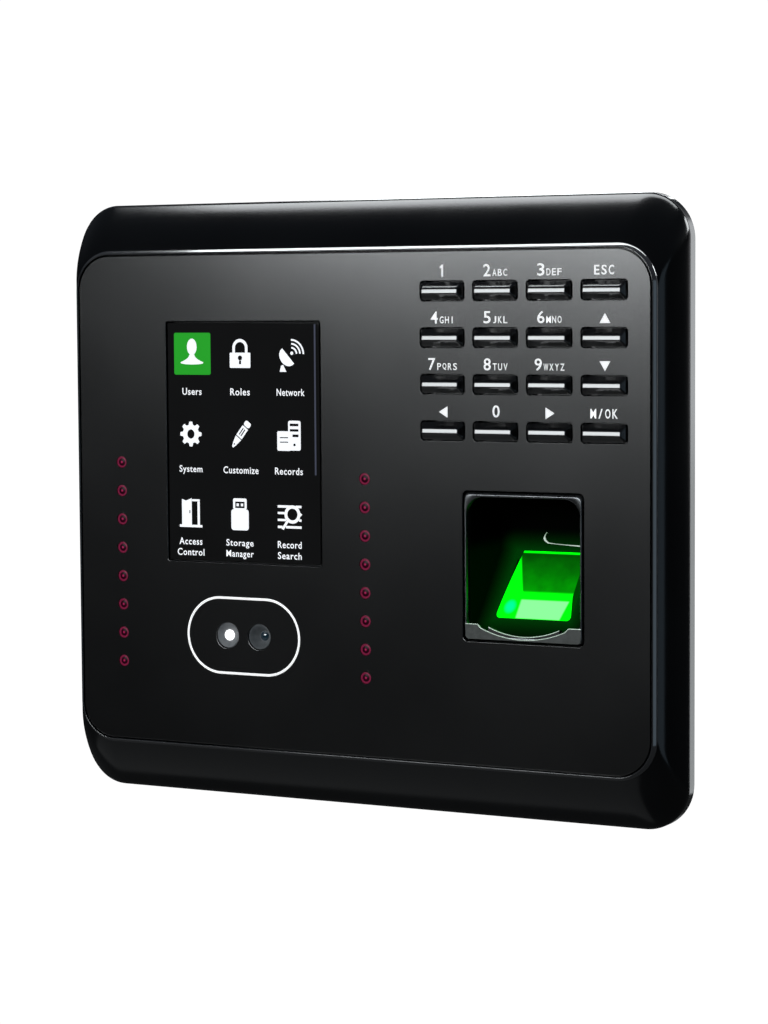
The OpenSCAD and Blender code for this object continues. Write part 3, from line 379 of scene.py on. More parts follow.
finishes = {
    "facePaint": dict(base=(0.0015, 0.0016, 0.0018), tint=(0.0021, 0.0022, 0.0024), rough=(0.18, 0.21),
                      specular=1.0, coat=1.0, coatRough=0.2,
                      grain=0.03, grainScale=5200, flecks=0.25, drift=25),
    "shellPlastic": dict(base=(0.0018, 0.0021, 0.0026), tint=(0.0026, 0.003, 0.0036), rough=(0.14, 0.17),
                         specular=0.4, grain=0.10, grainScale=4200, flecks=0.2, drift=30),
    "rimPolish": dict(base=(0.02, 0.021, 0.023), tint=(0.026, 0.027, 0.03), rough=(0.10, 0.14),
                      specular=1.0, coat=1.0, drift=40, flecks=0.05),
    "deckPlastic": dict(base=(0.002, 0.002, 0.002), tint=(0.003, 0.003, 0.003), rough=(0.5, 0.6),
                        grain=0.2, grainScale=3000),
    "keyPlastic": dict(base=(0.0018, 0.002, 0.0024), tint=(0.0026, 0.0028, 0.0032), rough=(0.14, 0.18),
                       grain=0.03, grainScale=3000, flecks=0.05, specular=1.0, coat=0.35, coatRough=0.12),
    # white printed ring line; its glow is painted brightness
    "ringWhitePaintedGlow": dict(base=(0.86, 0.86, 0.85), tint=(0.8, 0.8, 0.79), rough=(0.3, 0.36), grain=0.03,
                      flecks=0.05, glow=(1, 1, 1), glowStrength=0.55),
    # white print; its glow is painted brightness
    "printWhitePaintedGlow": dict(base=(0.84, 0.85, 0.86), tint=(0.78, 0.79, 0.8), rough=(0.45, 0.55), grain=0.05,
                       grainScale=6000, glow=(1, 1, 1), glowStrength=0.5),
    "screenGlass": dict(base=(0.0105, 0.0104, 0.0106), tint=(0.012, 0.012, 0.0124), rough=(0.05, 0.08),
                        specular=0.12, flecks=0.02, drift=40),
    "barrelGrey": dict(base=(0.13, 0.14, 0.15), tint=(0.2, 0.21, 0.22), rough=(0.5, 0.65), grain=0.5,
                       grainScale=2200, pits=0.7, flecks=0.4, drift=900),
    "bezelMetal": dict(base=(0.10, 0.105, 0.11), tint=(0.14, 0.145, 0.15), rough=(0.24, 0.32), grain=0.06,
                       metal=0.95, drift=200, flecks=0.3),
    # polished beads; their glow is a painted sheen of green light and a white highlight
    "beadMetalPaintedSheen": dict(base=(0.5, 0.56, 0.51), tint=(0.62, 0.68, 0.63), rough=(0.2, 0.3), metal=0.5,
                      drift=300, flecks=0.2, glow=(0.72, 0.95, 0.78), glowStrength=0.36),
    "lipPlastic": dict(base=(0.036, 0.042, 0.039), tint=(0.075, 0.083, 0.078), rough=(0.42, 0.55), grain=0.6,
                       grainScale=1700, pits=0.6, flecks=0.6, drift=500),
    "rearPlastic": dict(base=(0.0065, 0.0068, 0.0072), tint=(0.0095, 0.0098, 0.0105), rough=(0.42, 0.5),
                        grain=0.35, grainScale=2600, pits=0.5, flecks=0.3, drift=35),
    "bracketSteel": dict(base=(0.42, 0.43, 0.44), tint=(0.52, 0.53, 0.54), rough=(0.34, 0.48), grain=0.08,
                         grainScale=1500, metal=0.95, drift=90, flecks=0.3),
    "screwSteel": dict(base=(0.46, 0.46, 0.46), tint=(0.6, 0.6, 0.6), rough=(0.24, 0.34), grain=0.05,
                       metal=0.95, drift=400, flecks=0.2),
    "boardGreen": dict(base=(0.012, 0.09, 0.035), tint=(0.016, 0.12, 0.045), rough=(0.3, 0.4), grain=0.1,
                       grainScale=900, drift=300, coat=0.3),
    "chipBlack": dict(base=(0.012, 0.012, 0.012), tint=(0.02, 0.02, 0.02), rough=(0.45, 0.55), grain=0.25,
                      grainScale=3500, flecks=0.3),
    "relayBlue": dict(base=(0.02, 0.10, 0.35), tint=(0.03, 0.13, 0.42), rough=(0.35, 0.42), grain=0.1),
    "terminalGreen": dict(base=(0.02, 0.26, 0.10), tint=(0.03, 0.32, 0.13), rough=(0.35, 0.45), grain=0.15,
                          grainScale=2500, drift=150),
    "jackMetal": dict(base=(0.5, 0.5, 0.5), tint=(0.64, 0.64, 0.63), rough=(0.25, 0.38), grain=0.06,
                      metal=1.0, drift=250, flecks=0.2),
    "ivoryPlastic": dict(base=(0.62, 0.58, 0.47), tint=(0.7, 0.66, 0.55), rough=(0.4, 0.5), grain=0.1),
    "matRubber": dict(base=(0.05, 0.05, 0.052), tint=(0.07, 0.07, 0.072), rough=(0.6, 0.7), grain=0.25),
    "displayDark": dict(base=(0.004, 0.004, 0.005), tint=(0.006, 0.006, 0.007), rough=(0.3, 0.4), grain=0.05),
    "lensBlue": dict(base=(0.006, 0.02, 0.035), tint=(0.012, 0.04, 0.06), rough=(0.05, 0.08), specular=0.9,
                     coat=1.0, coatRough=0.02, drift=500),
    "ribbonGrey": dict(base=(0.35, 0.35, 0.36), tint=(0.45, 0.45, 0.46), rough=(0.45, 0.55), grain=0.1),
}
made = {name: makeFinish(name, **values) for name, values in finishes.items()}
print("finishes made:", len(made))

nodeFinish = {
    "screen_gasket": "matRubber", "lcd_panel": "displayDark", "lcd_frame": "jackMetal",
    "camera_board": "boardGreen", "led_board_left": "boardGreen", "led_board_right": "boardGreen",
    "sensor_light": "boardGreen", "sensor_imager": "boardGreen",
    "keypad_mat": "matRubber", "keypad_board": "boardGreen", "main_board": "boardGreen",
    "board_chips": "chipBlack", "lock_relay": "relayBlue", "network_jack": "jackMetal",
    "usb_port": "jackMetal", "power_jack": "chipBlack", "terminal_block": "terminalGreen",
    "backup_battery": "jackMetal", "battery_holder": "ivoryPlastic", "speaker": "chipBlack",
    "buzzer": "chipBlack", "tamper_switch": "chipBlack", "tamper_plunger": "ivoryPlastic",
    "reset_button": "ivoryPlastic", "ribbon_cables": "ribbonGrey", "rear_cover": "rearPlastic",
    "wall_bracket": "bracketSteel", "case_screws": "screwSteel", "board_screws": "screwSteel",
    "security_screw": "screwSteel",
}


def paintNodes():
    for name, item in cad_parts.items():
        if name in nodeFinish:
            item.data.materials.clear()
            item.data.materials.append(made[nodeFinish[name]])


paintNodes()

# ---- housing: one profile carried round the rounded rectangle ----

shellBox = panelBox("front_shell")
plateBox = panelBox("face_plate")
housing = {"w": shellBox["w"], "h": shellBox["h"], "front": shellBox["high"], "back": shellBox["low"],
           "r": 11.0, "edge": 0.55, "flange": 3.4, "bevelSide": 4.3, "bevelEnd": 12.15, "panelUp": 0.43,
           "panelR": 10.0, "panelEdge": 1.2, "bow": 0.525, "rim": 1.0, "floor": plateBox["low"],
           "deck": 1.7, "wall": 2.2, "lap": 3.5}


def housingProfile(size):
    # side wall, then a bow s + k s(1 - s) up to the panel edge, then a rounded rim, the groove floor,
    # and back behind the wall to where it began
    w, h, front = size["w"], size["h"], size["front"]
    panelW, panelH = w - 2 * size["bevelSide"], h - 2 * size["bevelEnd"]
    top, foot = front - size["panelEdge"], size["back"] + size["flange"]
    rows = [(w - 0.5, h - 0.5, size["r"] - 0.25, 0, size["back"]), (w, h, size["r"], 0, size["back"] + 0.25),
            (w, h, size["r"], 0, size["back"] + 1.6), (w, h, size["r"], 0, foot - size["edge"])]
    s = np.linspace(0, 1, 22)
    reach = s + size["bow"] * s * (1 - s)
    ease = np.clip(s / 0.08, 0, 1)        # rounds the outer edge off before the bow starts
    for k in range(len(s)):
        out = foot + (top - foot) * reach[k] - (1 - ease[k]) ** 2 * size["edge"] * 0.4
        rows.append((w - 2 * size["bevelSide"] * s[k], h - 2 * size["bevelEnd"] * s[k],
                     size["r"] + (size["panelR"] - size["r"]) * s[k], size["panelUp"] * s[k], out))
    rimStart = len(rows) - 1
    # rim: a quarter-round foot, a slope of constant lean, and a tight round into the groove
    lean = np.radians([90, 78, 66, 56, 50, 50, 49, 47, 42, 20, 0, -30, -60, -90])
    reach = np.array([0.0, 0.02, 0.06, 0.12, 0.2, 0.35, 0.5, 0.62, 0.72, 0.79, 0.84, 0.9, 0.95, 1.0])
    slope = np.tan(np.clip(lean[:-1] + lean[1:], -2.4, 2.4) / 2)
    fall = np.concatenate([[0], np.cumsum(np.diff(reach) * slope)])
    crown = front - (fall.max() - fall)
    inset = reach * size["rim"]
    for k in range(len(inset)):
        rows.append((panelW - 2 * inset[k], panelH - 2 * inset[k], size["panelR"] - inset[k],
                     size["panelUp"], crown[k]))
    rimStop = len(rows) - 1
    seatW, seatH = panelW - 2 * size["rim"], panelH - 2 * size["rim"]
    seatR = size["panelR"] - size["rim"]
    lapW, lapH, lapR = seatW - 2 * size["lap"], seatH - 2 * size["lap"], seatR - size["lap"]
    rows += [(seatW, seatH, seatR, size["panelUp"], size["floor"]),
             (lapW, lapH, lapR, size["panelUp"], size["floor"]),
             (lapW, lapH, lapR, size["panelUp"], size["floor"] - size["deck"]),
             (panelW - 4, panelH - 4, size["panelR"] - 2, size["panelUp"], size["floor"] - size["deck"]),
             (w - 2 * size["wall"], h - 2 * size["wall"], size["r"] - size["wall"], 0, foot - 1.5),
             (w - 2 * size["wall"], h - 2 * size["wall"], size["r"] - size["wall"], 0, size["back"])]
    return rows, rimStart, rimStop


def makeHousing(size):
    rows, rimStart, rimStop = housingProfile(size)
    rings = roundedRings(rows, arcSteps=18)
    shape = loft(rings, closed=True)
    perRow = rings.shape[1]
    rowOfFace = np.repeat(np.arange(len(rows)), perRow)
    pick = ((rowOfFace >= rimStart) & (rowOfFace < rimStop)).astype(int)
    addPiece("housingShell", shape, [made["shellPlastic"], made["rimPolish"]],
             stands=("front_shell",), pick=pick, sharp=40)


makeHousing(housing)
print("housing shell made")

# ---- openings shared by the face plate and the deck behind it ----

keyOrder = ["key_1", "key_2", "key_3", "key_escape", "key_4", "key_5", "key_6", "key_up",
            "key_7", "key_8", "key_9", "key_down", "key_left", "key_0", "key_right", "key_menu"]
keyBoxes = {name: panelBox(name) for name in keyOrder}
bezelBox = panelBox("sensor_bezel")
windowBox = panelBox("screen_window")
ringBox = panelBox("camera_ring")
ledBoxes = {side: panelBox("infrared_leds_" + side) for side in ("left", "right")}
openings = {"keyW": 11.7, "keyH": 4.75, "keyR": 0.9, "screenGap": 0.4, "screenR": 0.6, "sensorGap": 0.45,
            "sensorR": 1.4, "lens": 6.5, "lensPitch": 9.1, "led": 3.3, "ledBody": 3.0, "ledCount": 8}


def ledPlaces(side):
    box = ledBoxes[side]
    reach = (box["h"] - openings["ledBody"] - 0.4) / 2
    return [(box["x"], box["up"] + lift) for lift in np.linspace(reach, -reach, openings["ledCount"])]


def lensPlaces():
    return [(ringBox["x"] + side * openings["lensPitch"] / 2, ringBox["up"]) for side in (-1, 1)]


def holeLines(grow):
    lines = [rectLine(box["x"], box["up"], openings["keyW"] + 2 * grow, openings["keyH"] + 2 * grow,
                      openings["keyR"]) for box in keyBoxes.values()]
    lines.append(rectLine(windowBox["x"], windowBox["up"], windowBox["w"] + 2 * openings["screenGap"] + grow,
                          windowBox["h"] + 2 * openings["screenGap"] + grow, openings["screenR"]))
    lines.append(rectLine(bezelBox["x"], bezelBox["up"], bezelBox["w"] + 2 * openings["sensorGap"],
                          bezelBox["h"] + 2 * openings["sensorGap"], openings["sensorR"], 10))
    lines += [circleLine(x, up, openings["lens"] / 2 + grow, 40) for x, up in lensPlaces()]
    lines += [circleLine(x, up, openings["led"] / 2 + grow, 28)
              for side in ("left", "right") for x, up in ledPlaces(side)]
    return lines


facePlate = {"r": 8.65, "edge": 0.14}
plateOutline = rectLine(plateBox["x"], plateBox["up"], plateBox["w"], plateBox["h"], facePlate["r"], 18)
addPiece("facePlate", cutShape([plateOutline] + holeLines(0), plateBox["low"], plateBox["high"],
                               facePlate["edge"]), made["facePaint"],
         stands=("face_plate",), sharp=50)
deckW = housing["w"] - 2 * housing["bevelSide"] - 2 * housing["rim"] - 2 * housing["lap"]
deckH = housing["h"] - 2 * housing["bevelEnd"] - 2 * housing["rim"] - 2 * housing["lap"]
deckOutline = rectLine(0, housing["panelUp"], deckW, deckH, 5.5, 8)
addPiece("shellDeck", cutShape([deckOutline] + holeLines(0.2), housing["floor"] - housing["deck"],
                               housing["floor"] - 0.02), made["deckPlastic"])
print("face plate made")

# ---- keys ----

keyCap = {"crown": 1.25, "crownLift": 0.05, "crownTip": 0.14, "endSlope": 0.85, "r": 0.75, "topR": 0.3,
          "play": 0.6, "shoulder": 0.15, "lip": 0.8, "lipR": 0.4}


def makeKeys(size):
    for name, box in keyBoxes.items():
        capW, capH, top = openings["keyW"] - size["play"], openings["keyH"] - size["play"], box["high"]
        shoulder = plateBox["high"] + size["shoulder"]
        low, lipTop = box["low"], box["low"] + size["lip"]
        # rings from the retaining lip up the straight sides, in over two slopes, and across the crown
        rows = [(box["w"], box["h"], size["lipR"], 0, low), (box["w"], box["h"], size["lipR"], 0, lipTop),
                (capW, capH, size["r"], 0, lipTop + 0.01), (capW, capH, size["r"], 0, plateBox["high"])]
        t = np.linspace(0, 1, 7)
        inX = size["endSlope"] * 2 * (t ** 0.85)
        inY = (capH - size["crown"]) * (t ** 0.85)
        rise = (top - size["crownLift"] - shoulder) * (1 - (1 - t) ** 1.15)
        for k in range(len(t)):
            rows.append((capW - inX[k], capH - inY[k], size["r"] + (size["topR"] - size["r"]) * t[k], 0,
                         shoulder + rise[k]))
        q = np.linspace(0.2, 0.97, 6)        # the crown closes in on its middle line on a shallow arc
        for k in range(len(q)):
            lift = size["crownLift"] * math.sqrt(1 - (1 - q[k]) ** 2)
            rows.append((capW - inX[-1] - size["crown"] * q[k], size["crown"] * (1 - q[k]),
                         min(size["topR"], size["crown"] * (1 - q[k]) / 2.1), 0,
                         top - size["crownLift"] + lift))
        rings = roundedRings(rows, (box["x"], box["up"]), 6, (0.03, 0.5, 0.97))
        tipped = np.concatenate([np.zeros(4), t ** 2, np.ones(len(q))])[:, None]
        rings[..., 2] -= tipped * size["crownTip"] * (rings[..., 1] - box["up"] + size["crown"] / 2)
        addPiece("cap_" + name, loft(rings), made["keyPlastic"], body=name,
                 stands=(name,), sharp=32)


makeKeys(keyCap)
print("keys made")

# ---- legends printed over the keys ----

legend = {"foot": 3.35, "digitH": 2.85, "digitW": 1.85, "digitBold": 0.006, "gap": 0.34, "letterH": 1.62,
          "letterW": 1.02, "letterPitch": 1.4, "letterBold": 0.006, "wordH": 2.2, "wordW": 1.32,
          "wordPitch": 1.82, "wordBold": 0.012, "arrowW": 2.7, "arrowH": 2.27, "shift": 0.2, "thick": 0.03}
letterShare = {"I": 0.24, "J": 0.85, "/": 0.8, "M": 1.12, "W": 1.18}        # width beside a plain letter
legendWords = {"key_1": ("1", ""), "key_2": ("2", "ABC"), "key_3": ("3", "DEF"), "key_4": ("4", "GHI"),
               "key_5": ("5", "JKL"), "key_6": ("6", "MNO"), "key_7": ("7", "PQRS"), "key_8": ("8", "TUV"),
               "key_9": ("9", "WXYZ"), "key_0": ("0", ""), "key_escape": ("ESC", ""),
               "key_menu": ("M/OK", "")}
arrowTurns = {"key_up": 0, "key_left": 90, "key_down": 180, "key_right": 270}


def letterRow(words, pitch, width, height, x, up, low, high, bold):
    # letters of one width, each in the middle of its own cell
    shapes = []
    for k, letter in enumerate(words):
        own = width * letterShare.get(letter, 1)
        shapes.append(wordShape(letter, own, height, x + pitch * (k + 0.5) - own / 2, up, low, high, bold))
    return shapes


def makeLegends(size):
    low, high = plateBox["high"] + 0.002, plateBox["high"] + size["thick"]
    shapes = []
    for name, (big, small) in legendWords.items():
        box = keyBoxes[name]
        foot = box["up"] + size["foot"]
        if len(big) > 1:
            width = size["wordPitch"] * len(big)
            shapes += letterRow(big, size["wordPitch"], size["wordW"], size["wordH"], box["x"] - width / 2,
                                foot + 0.1, low, high, size["wordBold"])
            continue
        if big == "1":        # a plain stem with a small flag
            stem = np.array([(-0.1, 0), (0.33, 0), (0.33, 2.85), (0.0, 2.85), (-0.55, 2.35), (-0.5, 1.98),
                             (-0.1, 2.2)])
            shapes.append(cutShape([stem + np.array([box["x"], foot])], low, high))
            continue
        bigW = size["digitW"]
        smallW = size["letterPitch"] * len(small)
        start = box["x"] + size["shift"] - (bigW + (size["gap"] + smallW if small else 0)) / 2
        shapes.append(wordShape(big, bigW, size["digitH"], start, foot, low, high, size["digitBold"]))
        if small:
            shapes += letterRow(small, size["letterPitch"], size["letterW"], size["letterH"],
                                start + bigW + size["gap"], foot + 0.05, low, high, size["letterBold"])
    wide, tall = size["arrowW"] / 2, size["arrowH"] / 2
    for name, turn in arrowTurns.items():
        box = keyBoxes[name]
        arrow = turnLine([(-wide, -tall), (wide, -tall), (0, tall)], turn, box["x"] + size["shift"],
                         box["up"] + size["foot"] + tall)
        shapes.append(cutShape([arrow], low, high))
    addPiece("keyLegends", joined(shapes), made["printWhitePaintedGlow"])


makeLegends(legend)
print("legends made")

# ---- camera window: white line, two barrels and their lenses ----

cameraPart = {"line": 0.75, "proud": 0.04, "sunk": 0.12, "barrelR": 3.12, "barrel": 6.0, "lampR": 1.32,
              "lampDepth": 0.95, "washerDepth": 0.62, "coneDepth": 2.9, "coneTop": 2.85, "coneFoot": 1.35,
              "lensR": 1.15}


def makeCameraLine(size):
    # the line's domed section carried round a stadium: out = foot + rise * sqrt(sin)
    w, h, t = ringBox["w"], ringBox["h"], size["line"]
    angle = np.linspace(0, math.pi, 9)
    inset = t / 2 - t / 2 * np.cos(angle)
    out = plateBox["high"] - size["sunk"] + (size["sunk"] + size["proud"]) * np.sin(angle) ** 0.5
    rows = [(w - 2 * a, h - 2 * a, h / 2 - a, 0, b) for a, b in zip(inset, out)]
    foot = plateBox["high"] - 0.3
    rows = [(w, h, h / 2, 0, foot)] + rows + [(w - 2 * t, h - 2 * t, h / 2 - t, 0, foot)]
    rings = roundedRings(rows, (ringBox["x"], ringBox["up"]), 28, (0.5,))
    addPiece("cameraLine", loft(rings, closed=True), made["ringWhitePaintedGlow"],
             stands=("camera_ring",), sharp=60)


def barrelShape(centre, floorR, floorDepth, mouthR, mouthDepth, size):
    # a tube closed at its foot: outside wall, rounded mouth, sloping face, floor
    front = plateBox["high"]
    profile = [(size["barrelR"], front - size["barrel"]), (size["barrelR"], front - 0.45),
               (size["barrelR"] - 0.06, front - 0.34), (size["barrelR"] - 0.16, front - 0.3),
               (mouthR, front - mouthDepth), (mouthR - 0.06, front - mouthDepth - 0.05),
               (floorR + 0.05, front - floorDepth + 0.05), (floorR, front - floorDepth),
               (floorR * 0.5, front - floorDepth), (0.02, front - floorDepth)]
    return loft(turnedRings(profile, centre, 40))


def domeShape(centre, radius, top, sag, depth):
    # a disc whose face is a shallow cap: out = top - sag * (r / radius)^2
    share = np.linspace(1, 0.02, 9)
    profile = [(radius, top - sag - depth)] + [(radius * s, top - sag * s * s) for s in share]
    return loft(turnedRings(profile, centre, 36))


def makeCamera(size):
    left, right = lensPlaces()
    front = plateBox["high"]
    addPiece("lampBarrel", barrelShape(left, size["lampR"] + 0.12, size["lampDepth"] + 0.3, 2.9,
                                       size["washerDepth"] - 0.25, size),
             made["barrelGrey"], stands=("lens_barrel_left",))
    addPiece("lensBarrel", barrelShape(right, size["coneFoot"], size["coneDepth"], size["coneTop"], 0.42,
                                       size),
             made["barrelDark"], stands=("lens_barrel_right",))
    addPiece("cameraLamp", domeShape(left, size["lampR"], front - size["lampDepth"] + 0.1, 0.1, 0.6),
             made["lampWhite"], stands=("camera_lenses",))
    addPiece("cameraLens", domeShape(right, size["lensR"], front - size["coneDepth"] + 0.55, 0.4, 0.3),
             made["lensBlue"])


made["lampWhite"] = makeFinish("lampWhite", (0.8, 0.8, 0.8), (0.9, 0.9, 0.9), (0.2, 0.3), glow=(1, 1, 1),
                               glowStrength=1.6)
made["barrelDark"] = makeFinish("barrelDark", (0.09, 0.10, 0.105), (0.14, 0.15, 0.16), (0.45, 0.6),
                                grain=0.3, grainScale=2200, flecks=0.3, drift=700)
makeCameraLine(cameraPart)
makeCamera(cameraPart)
print("camera made")

# ---- infrared lights ----

ledPart = {"r": 1.57, "front": 0.08, "glow": 0.6, "collarIn": 1.5, "collarOut": 1.80, "collar": 0.3,
           "proud": 0.006}
ledTones = {0.0: (0.30, 0.012, 0.07), 0.12: (0.26, 0.01, 0.06), 0.24: (0.012, 0.0, 0.003),
            0.55: (0.012, 0.0, 0.003), 0.66: (0.16, 0.010, 0.04), 0.84: (0.13, 0.008, 0.03),
            0.93: (0.02, 0.001, 0.005), 1.0: (0.01, 0.0, 0.002)}


def ledMaterial(size):
    # colour by distance from each light's own axis, kept on the mesh as "fromAxis"
    material, tree, surface, place = newMaterial("infraredRed")
    away = node(tree, "ShaderNodeAttribute", attribute_name="fromAxis")
    ramp = node(tree, "ShaderNodeValToRGB", [("Fac", away.outputs["Fac"])])
    stops = ramp.color_ramp.elements
    for spot, rgb in ledTones.items():
        stop = stops[0] if spot == 0 else stops[-1] if spot == 1 else stops.new(spot)
        stop.color = colour(rgb)
    for socket in ("Base Color", "Emission Color"):
        tree.links.new(ramp.outputs["Color"], surface.inputs[socket])
    surface.inputs["Emission Strength"].default_value = size["glow"]
    grain = groupNode(tree, mouldGrain, [("Vector", place), ("Scale", 3000.0)])
    tree.links.new(remap(tree, grain.outputs["Height"], 0.0, 1.0, 0.3, 0.42), surface.inputs["Roughness"])
    surface.inputs["Specular IOR Level"].default_value = 0.12
    return material


def makeLeds(size):
    material = ledMaterial(size)
    front = plateBox["high"]
    top, r = front - size["front"], size["r"]
    # flange, then a flat collar round a low dome: out = top - 0.05 - 0.35 (r / R)^2 inside the collar
    share = np.linspace(0.68, 0.02, 8)
    profile = [(r + 0.2, top - 3.4), (r + 0.2, top - 2.4), (r, top - 2.35), (r, top - 0.25),
               (r - 0.06, top - 0.14), (r - 0.14, top - 0.1), (r * 0.74, top - 0.12), (r * 0.70, top - 0.22)]
    profile += [(r * s, top - 0.05 - 0.35 * s * s) for s in share]
    rings = turnedRings(profile, (0, 0), 28)
    away = np.tile(np.repeat(np.array([p[0] for p in profile]) / r, 28), openings["ledCount"])
    for side in ("left", "right"):
        shape = repeated(*loft(rings), [(x, up, 0) for x, up in ledPlaces(side)])
        piece = addPiece("infrared_" + side, shape, material,
                         stands=("infrared_leds_" + side,), sharp=50)
        kept = piece.data.attributes.new("fromAxis", "FLOAT", "POINT")
        kept.data.foreach_set("value", away.astype(np.float32))
        # a black sleeve lines each hole: a flat ring just proud of the plate
        sleeves = [cutShape([circleLine(x, up, size[edge], 28) for edge in ("collarOut", "collarIn")],
                            front - size["collar"], front + size["proud"]) for x, up in ledPlaces(side)]
        addPiece("ledSleeves_" + side, joined(sleeves), made["facePaint"])


makeLeds(ledPart)
print("infrared lights made")

# ---- screen: a glass slab, and the menu that it shows ----

screenPart = {"edge": 0.22, "r": 0.5, "lift": 0.012, "thick": 0.03, "labelH": 1.75, "scrollW": 0.45}


def makeGlass(size):
    # ring by ring: back edge, side, quarter-round front edge, flat face
    w, h, e = windowBox["w"], windowBox["h"], size["edge"]
    angle = np.linspace(0, math.pi / 2, 6)
    rows = [(w - 0.1, h - 0.1, size["r"], 0, windowBox["low"]), (w, h, size["r"], 0, windowBox["low"] + 0.1)]
    rows += [(w - 2 * (e - e * math.cos(a)), h - 2 * (e - e * math.cos(a)), size["r"], 0,
              windowBox["high"] - e + e * math.sin(a)) for a in angle]
    rings = roundedRings(rows, (windowBox["x"], windowBox["up"]), 6)
    addPiece("screenGlass", loft(rings), made["screenGlass"],
             stands=("screen_window",), sharp=60)


def arcBand(x, up, radius, width, start, stop, steps=14):
    # the outline of a bent bar: outer arc out, inner arc back
    angle = np.radians(np.linspace(start, stop, steps))
    unit = np.stack([np.cos(angle), np.sin(angle)], axis=-1)
    bar = np.concatenate([unit * (radius + width / 2), unit[::-1] * (radius - width / 2)])
    return bar + np.array([x, up])


def ellipseLine(x, up, a, b, steps=28):
    angle = np.linspace(0, 2 * math.pi, steps, endpoint=False)
    return np.stack([x + a * np.cos(angle), up + b * np.sin(angle)], axis=-1)


def gearLine(teeth=8, outer=3.1, root=2.35, steps=12):
    # radius = root + a soft square wave of the angle
    angle = np.linspace(0, 2 * math.pi, teeth * steps, endpoint=False)
    wave = np.clip(0.5 + 1.3 * np.cos(teeth * angle), 0, 1)
    radius = root + (outer - root) * wave
    return np.stack([radius * np.sin(angle), radius * np.cos(angle)], axis=-1)


def shoulderLine():
    # neck and shoulders: half width grows from the neck to the base as 0.75 + 2.55 t^2
    t = np.linspace(0, 1, 10)
    half = 0.75 + 2.55 * t ** 2
    up = -0.6 - 1.85 * t
    right = np.stack([half, up], axis=-1)
    base = np.array([(3.2, -2.75), (2.0, -2.95), (0, -3.02), (-2.0, -2.95), (-3.2, -2.75)])
    left = np.stack([-half[::-1], up[::-1]], axis=-1)
    return np.concatenate([right, base, left])


def boxLine(x0, up0, x1, up1, r=0.0):
    if r:
        return rectLine((x0 + x1) / 2, (up0 + up1) / 2, x1 - x0, up1 - up0, r, 4)
    return [(x0, up0), (x1, up0), (x1, up1), (x0, up1)]


def bowlLine():        # the lower half of an ellipse under a short straight rim
    angle = np.linspace(math.pi, 2 * math.pi, 16)
    bowl = np.stack([2.5 * np.cos(angle), 2.0 * np.sin(angle)], axis=-1)
    return turnLine(np.concatenate([[(-2.5, 0.35)], bowl, [(2.5, 0.35)]]), -48, -0.95, -0.35)


def shackleLine():
    bow = arcBand(0, 1.55, 1.8, 0.75, 0, 180)
    return np.concatenate([[(2.15, 0.3)], bow[:14], [(-2.15, 0.3), (-1.45, 0.3)], bow[14:], [(1.45, 0.3)]])


icons = {
    "user": [[ellipseLine(0, 1.35, 1.4, 2.05)], [shoulderLine()]],
    "lock": [[boxLine(-2.95, -3.4, 2.95, 0.35, 0.25), circleLine(0, -0.95, 0.62, 16),
              boxLine(-0.3, -2.5, 0.3, -1.6)], [shackleLine()]],
    "dish": [[bowlLine()], [[(-3.1, -4.0), (-1.2, -4.0), (-2.1, -2.3), (-2.7, -2.5)]],
             [circleLine(0.35, 0.55, 0.42, 14)],
             [arcBand(0.1, 0.3, 1.6, 0.42, 5, 85)], [arcBand(0.1, 0.3, 2.55, 0.42, 3, 87)],
             [arcBand(0.1, 0.3, 3.5, 0.42, 1, 89)]],
    "gear": [[gearLine(), ellipseLine(0, 0, 1.05, 1.15)]],
    "pencil": [[turnLine(boxLine(2.35, -0.95, 3.75, 0.95, 0.5), 52)],
               [turnLine(boxLine(-0.9, -0.95, 2.1, 0.95), 52), turnLine(boxLine(-0.4, -0.42, 1.6, -0.1), 52),
                turnLine(boxLine(-0.4, 0.2, 1.6, 0.5), 52)],
               [turnLine([(-1.15, -0.95), (-1.15, 0.95), (-3.0, 0.55), (-4.0, 0.15), (-4.0, -0.3),
                          (-3.0, -0.6)], 52), turnLine(circleLine(-3.1, 0, 0.22, 10), 52)]],
    "files": [[boxLine(-0.2, -3.6, 3.3, 3.7, 0.5), boxLine(0.25, 2.35, 2.7, 3.0),
               boxLine(0.25, 1.05, 2.7, 1.65), boxLine(1.0, -0.3, 2.7, 0.35),
               circleLine(1.55, -2.2, 0.35, 10)],
              [boxLine(-3.3, -3.7, 0.55, 1.1, 0.4), boxLine(-2.6, -0.6, -0.2, -0.35),
               boxLine(-2.6, -1.7, -0.2, -1.45)]],
    "door": [[boxLine(-3.3, -3.6, 3.3, -3.0)],
             [[(-2.6, -3.0), (-2.6, 3.4), (-1.4, 3.0), (0.25, 3.65), (0.25, -3.4), (-0.6, -3.0)],
              boxLine(-0.45, -0.15, -0.15, 0.65)],
             [boxLine(0.35, 2.9, 2.6, 3.4)], [boxLine(1.95, -3.0, 2.6, 2.85)]],
    "stick": [[boxLine(-2.5, -3.9, 2.5, 1.3, 0.7)],
              [boxLine(-1.95, 1.3, 1.95, 4.0, 0.4), boxLine(-1.35, 1.6, 1.35, 3.2)],
              [boxLine(-0.95, 2.05, -0.3, 2.75)], [boxLine(0.3, 2.05, 0.95, 2.75)]],
    "search": [[boxLine(-3.4, 2.35, 0.2, 2.95)], [boxLine(1.7, 2.35, 3.3, 2.95)],
               [boxLine(-3.4, 0.75, -1.5, 1.3)], [boxLine(-3.4, -0.95, -1.1, -0.4)],
               [boxLine(-3.4, -2.7, -2.1, -2.1)], [boxLine(-1.1, -2.7, 3.3, -2.1)],
               [circleLine(0.75, 0.75, 2.25, 28), circleLine(0.75, 0.75, 1.45, 28)],
               [[(-2.35, -2.8), (-1.75, -3.1), (-0.35, -1.1), (-0.85, -0.7)]],
               [boxLine(2.6, -0.95, 3.3, -0.4)],
               [[(3.0, 1.2), (3.5, 0.75), (3.0, 0.3)]]],
}
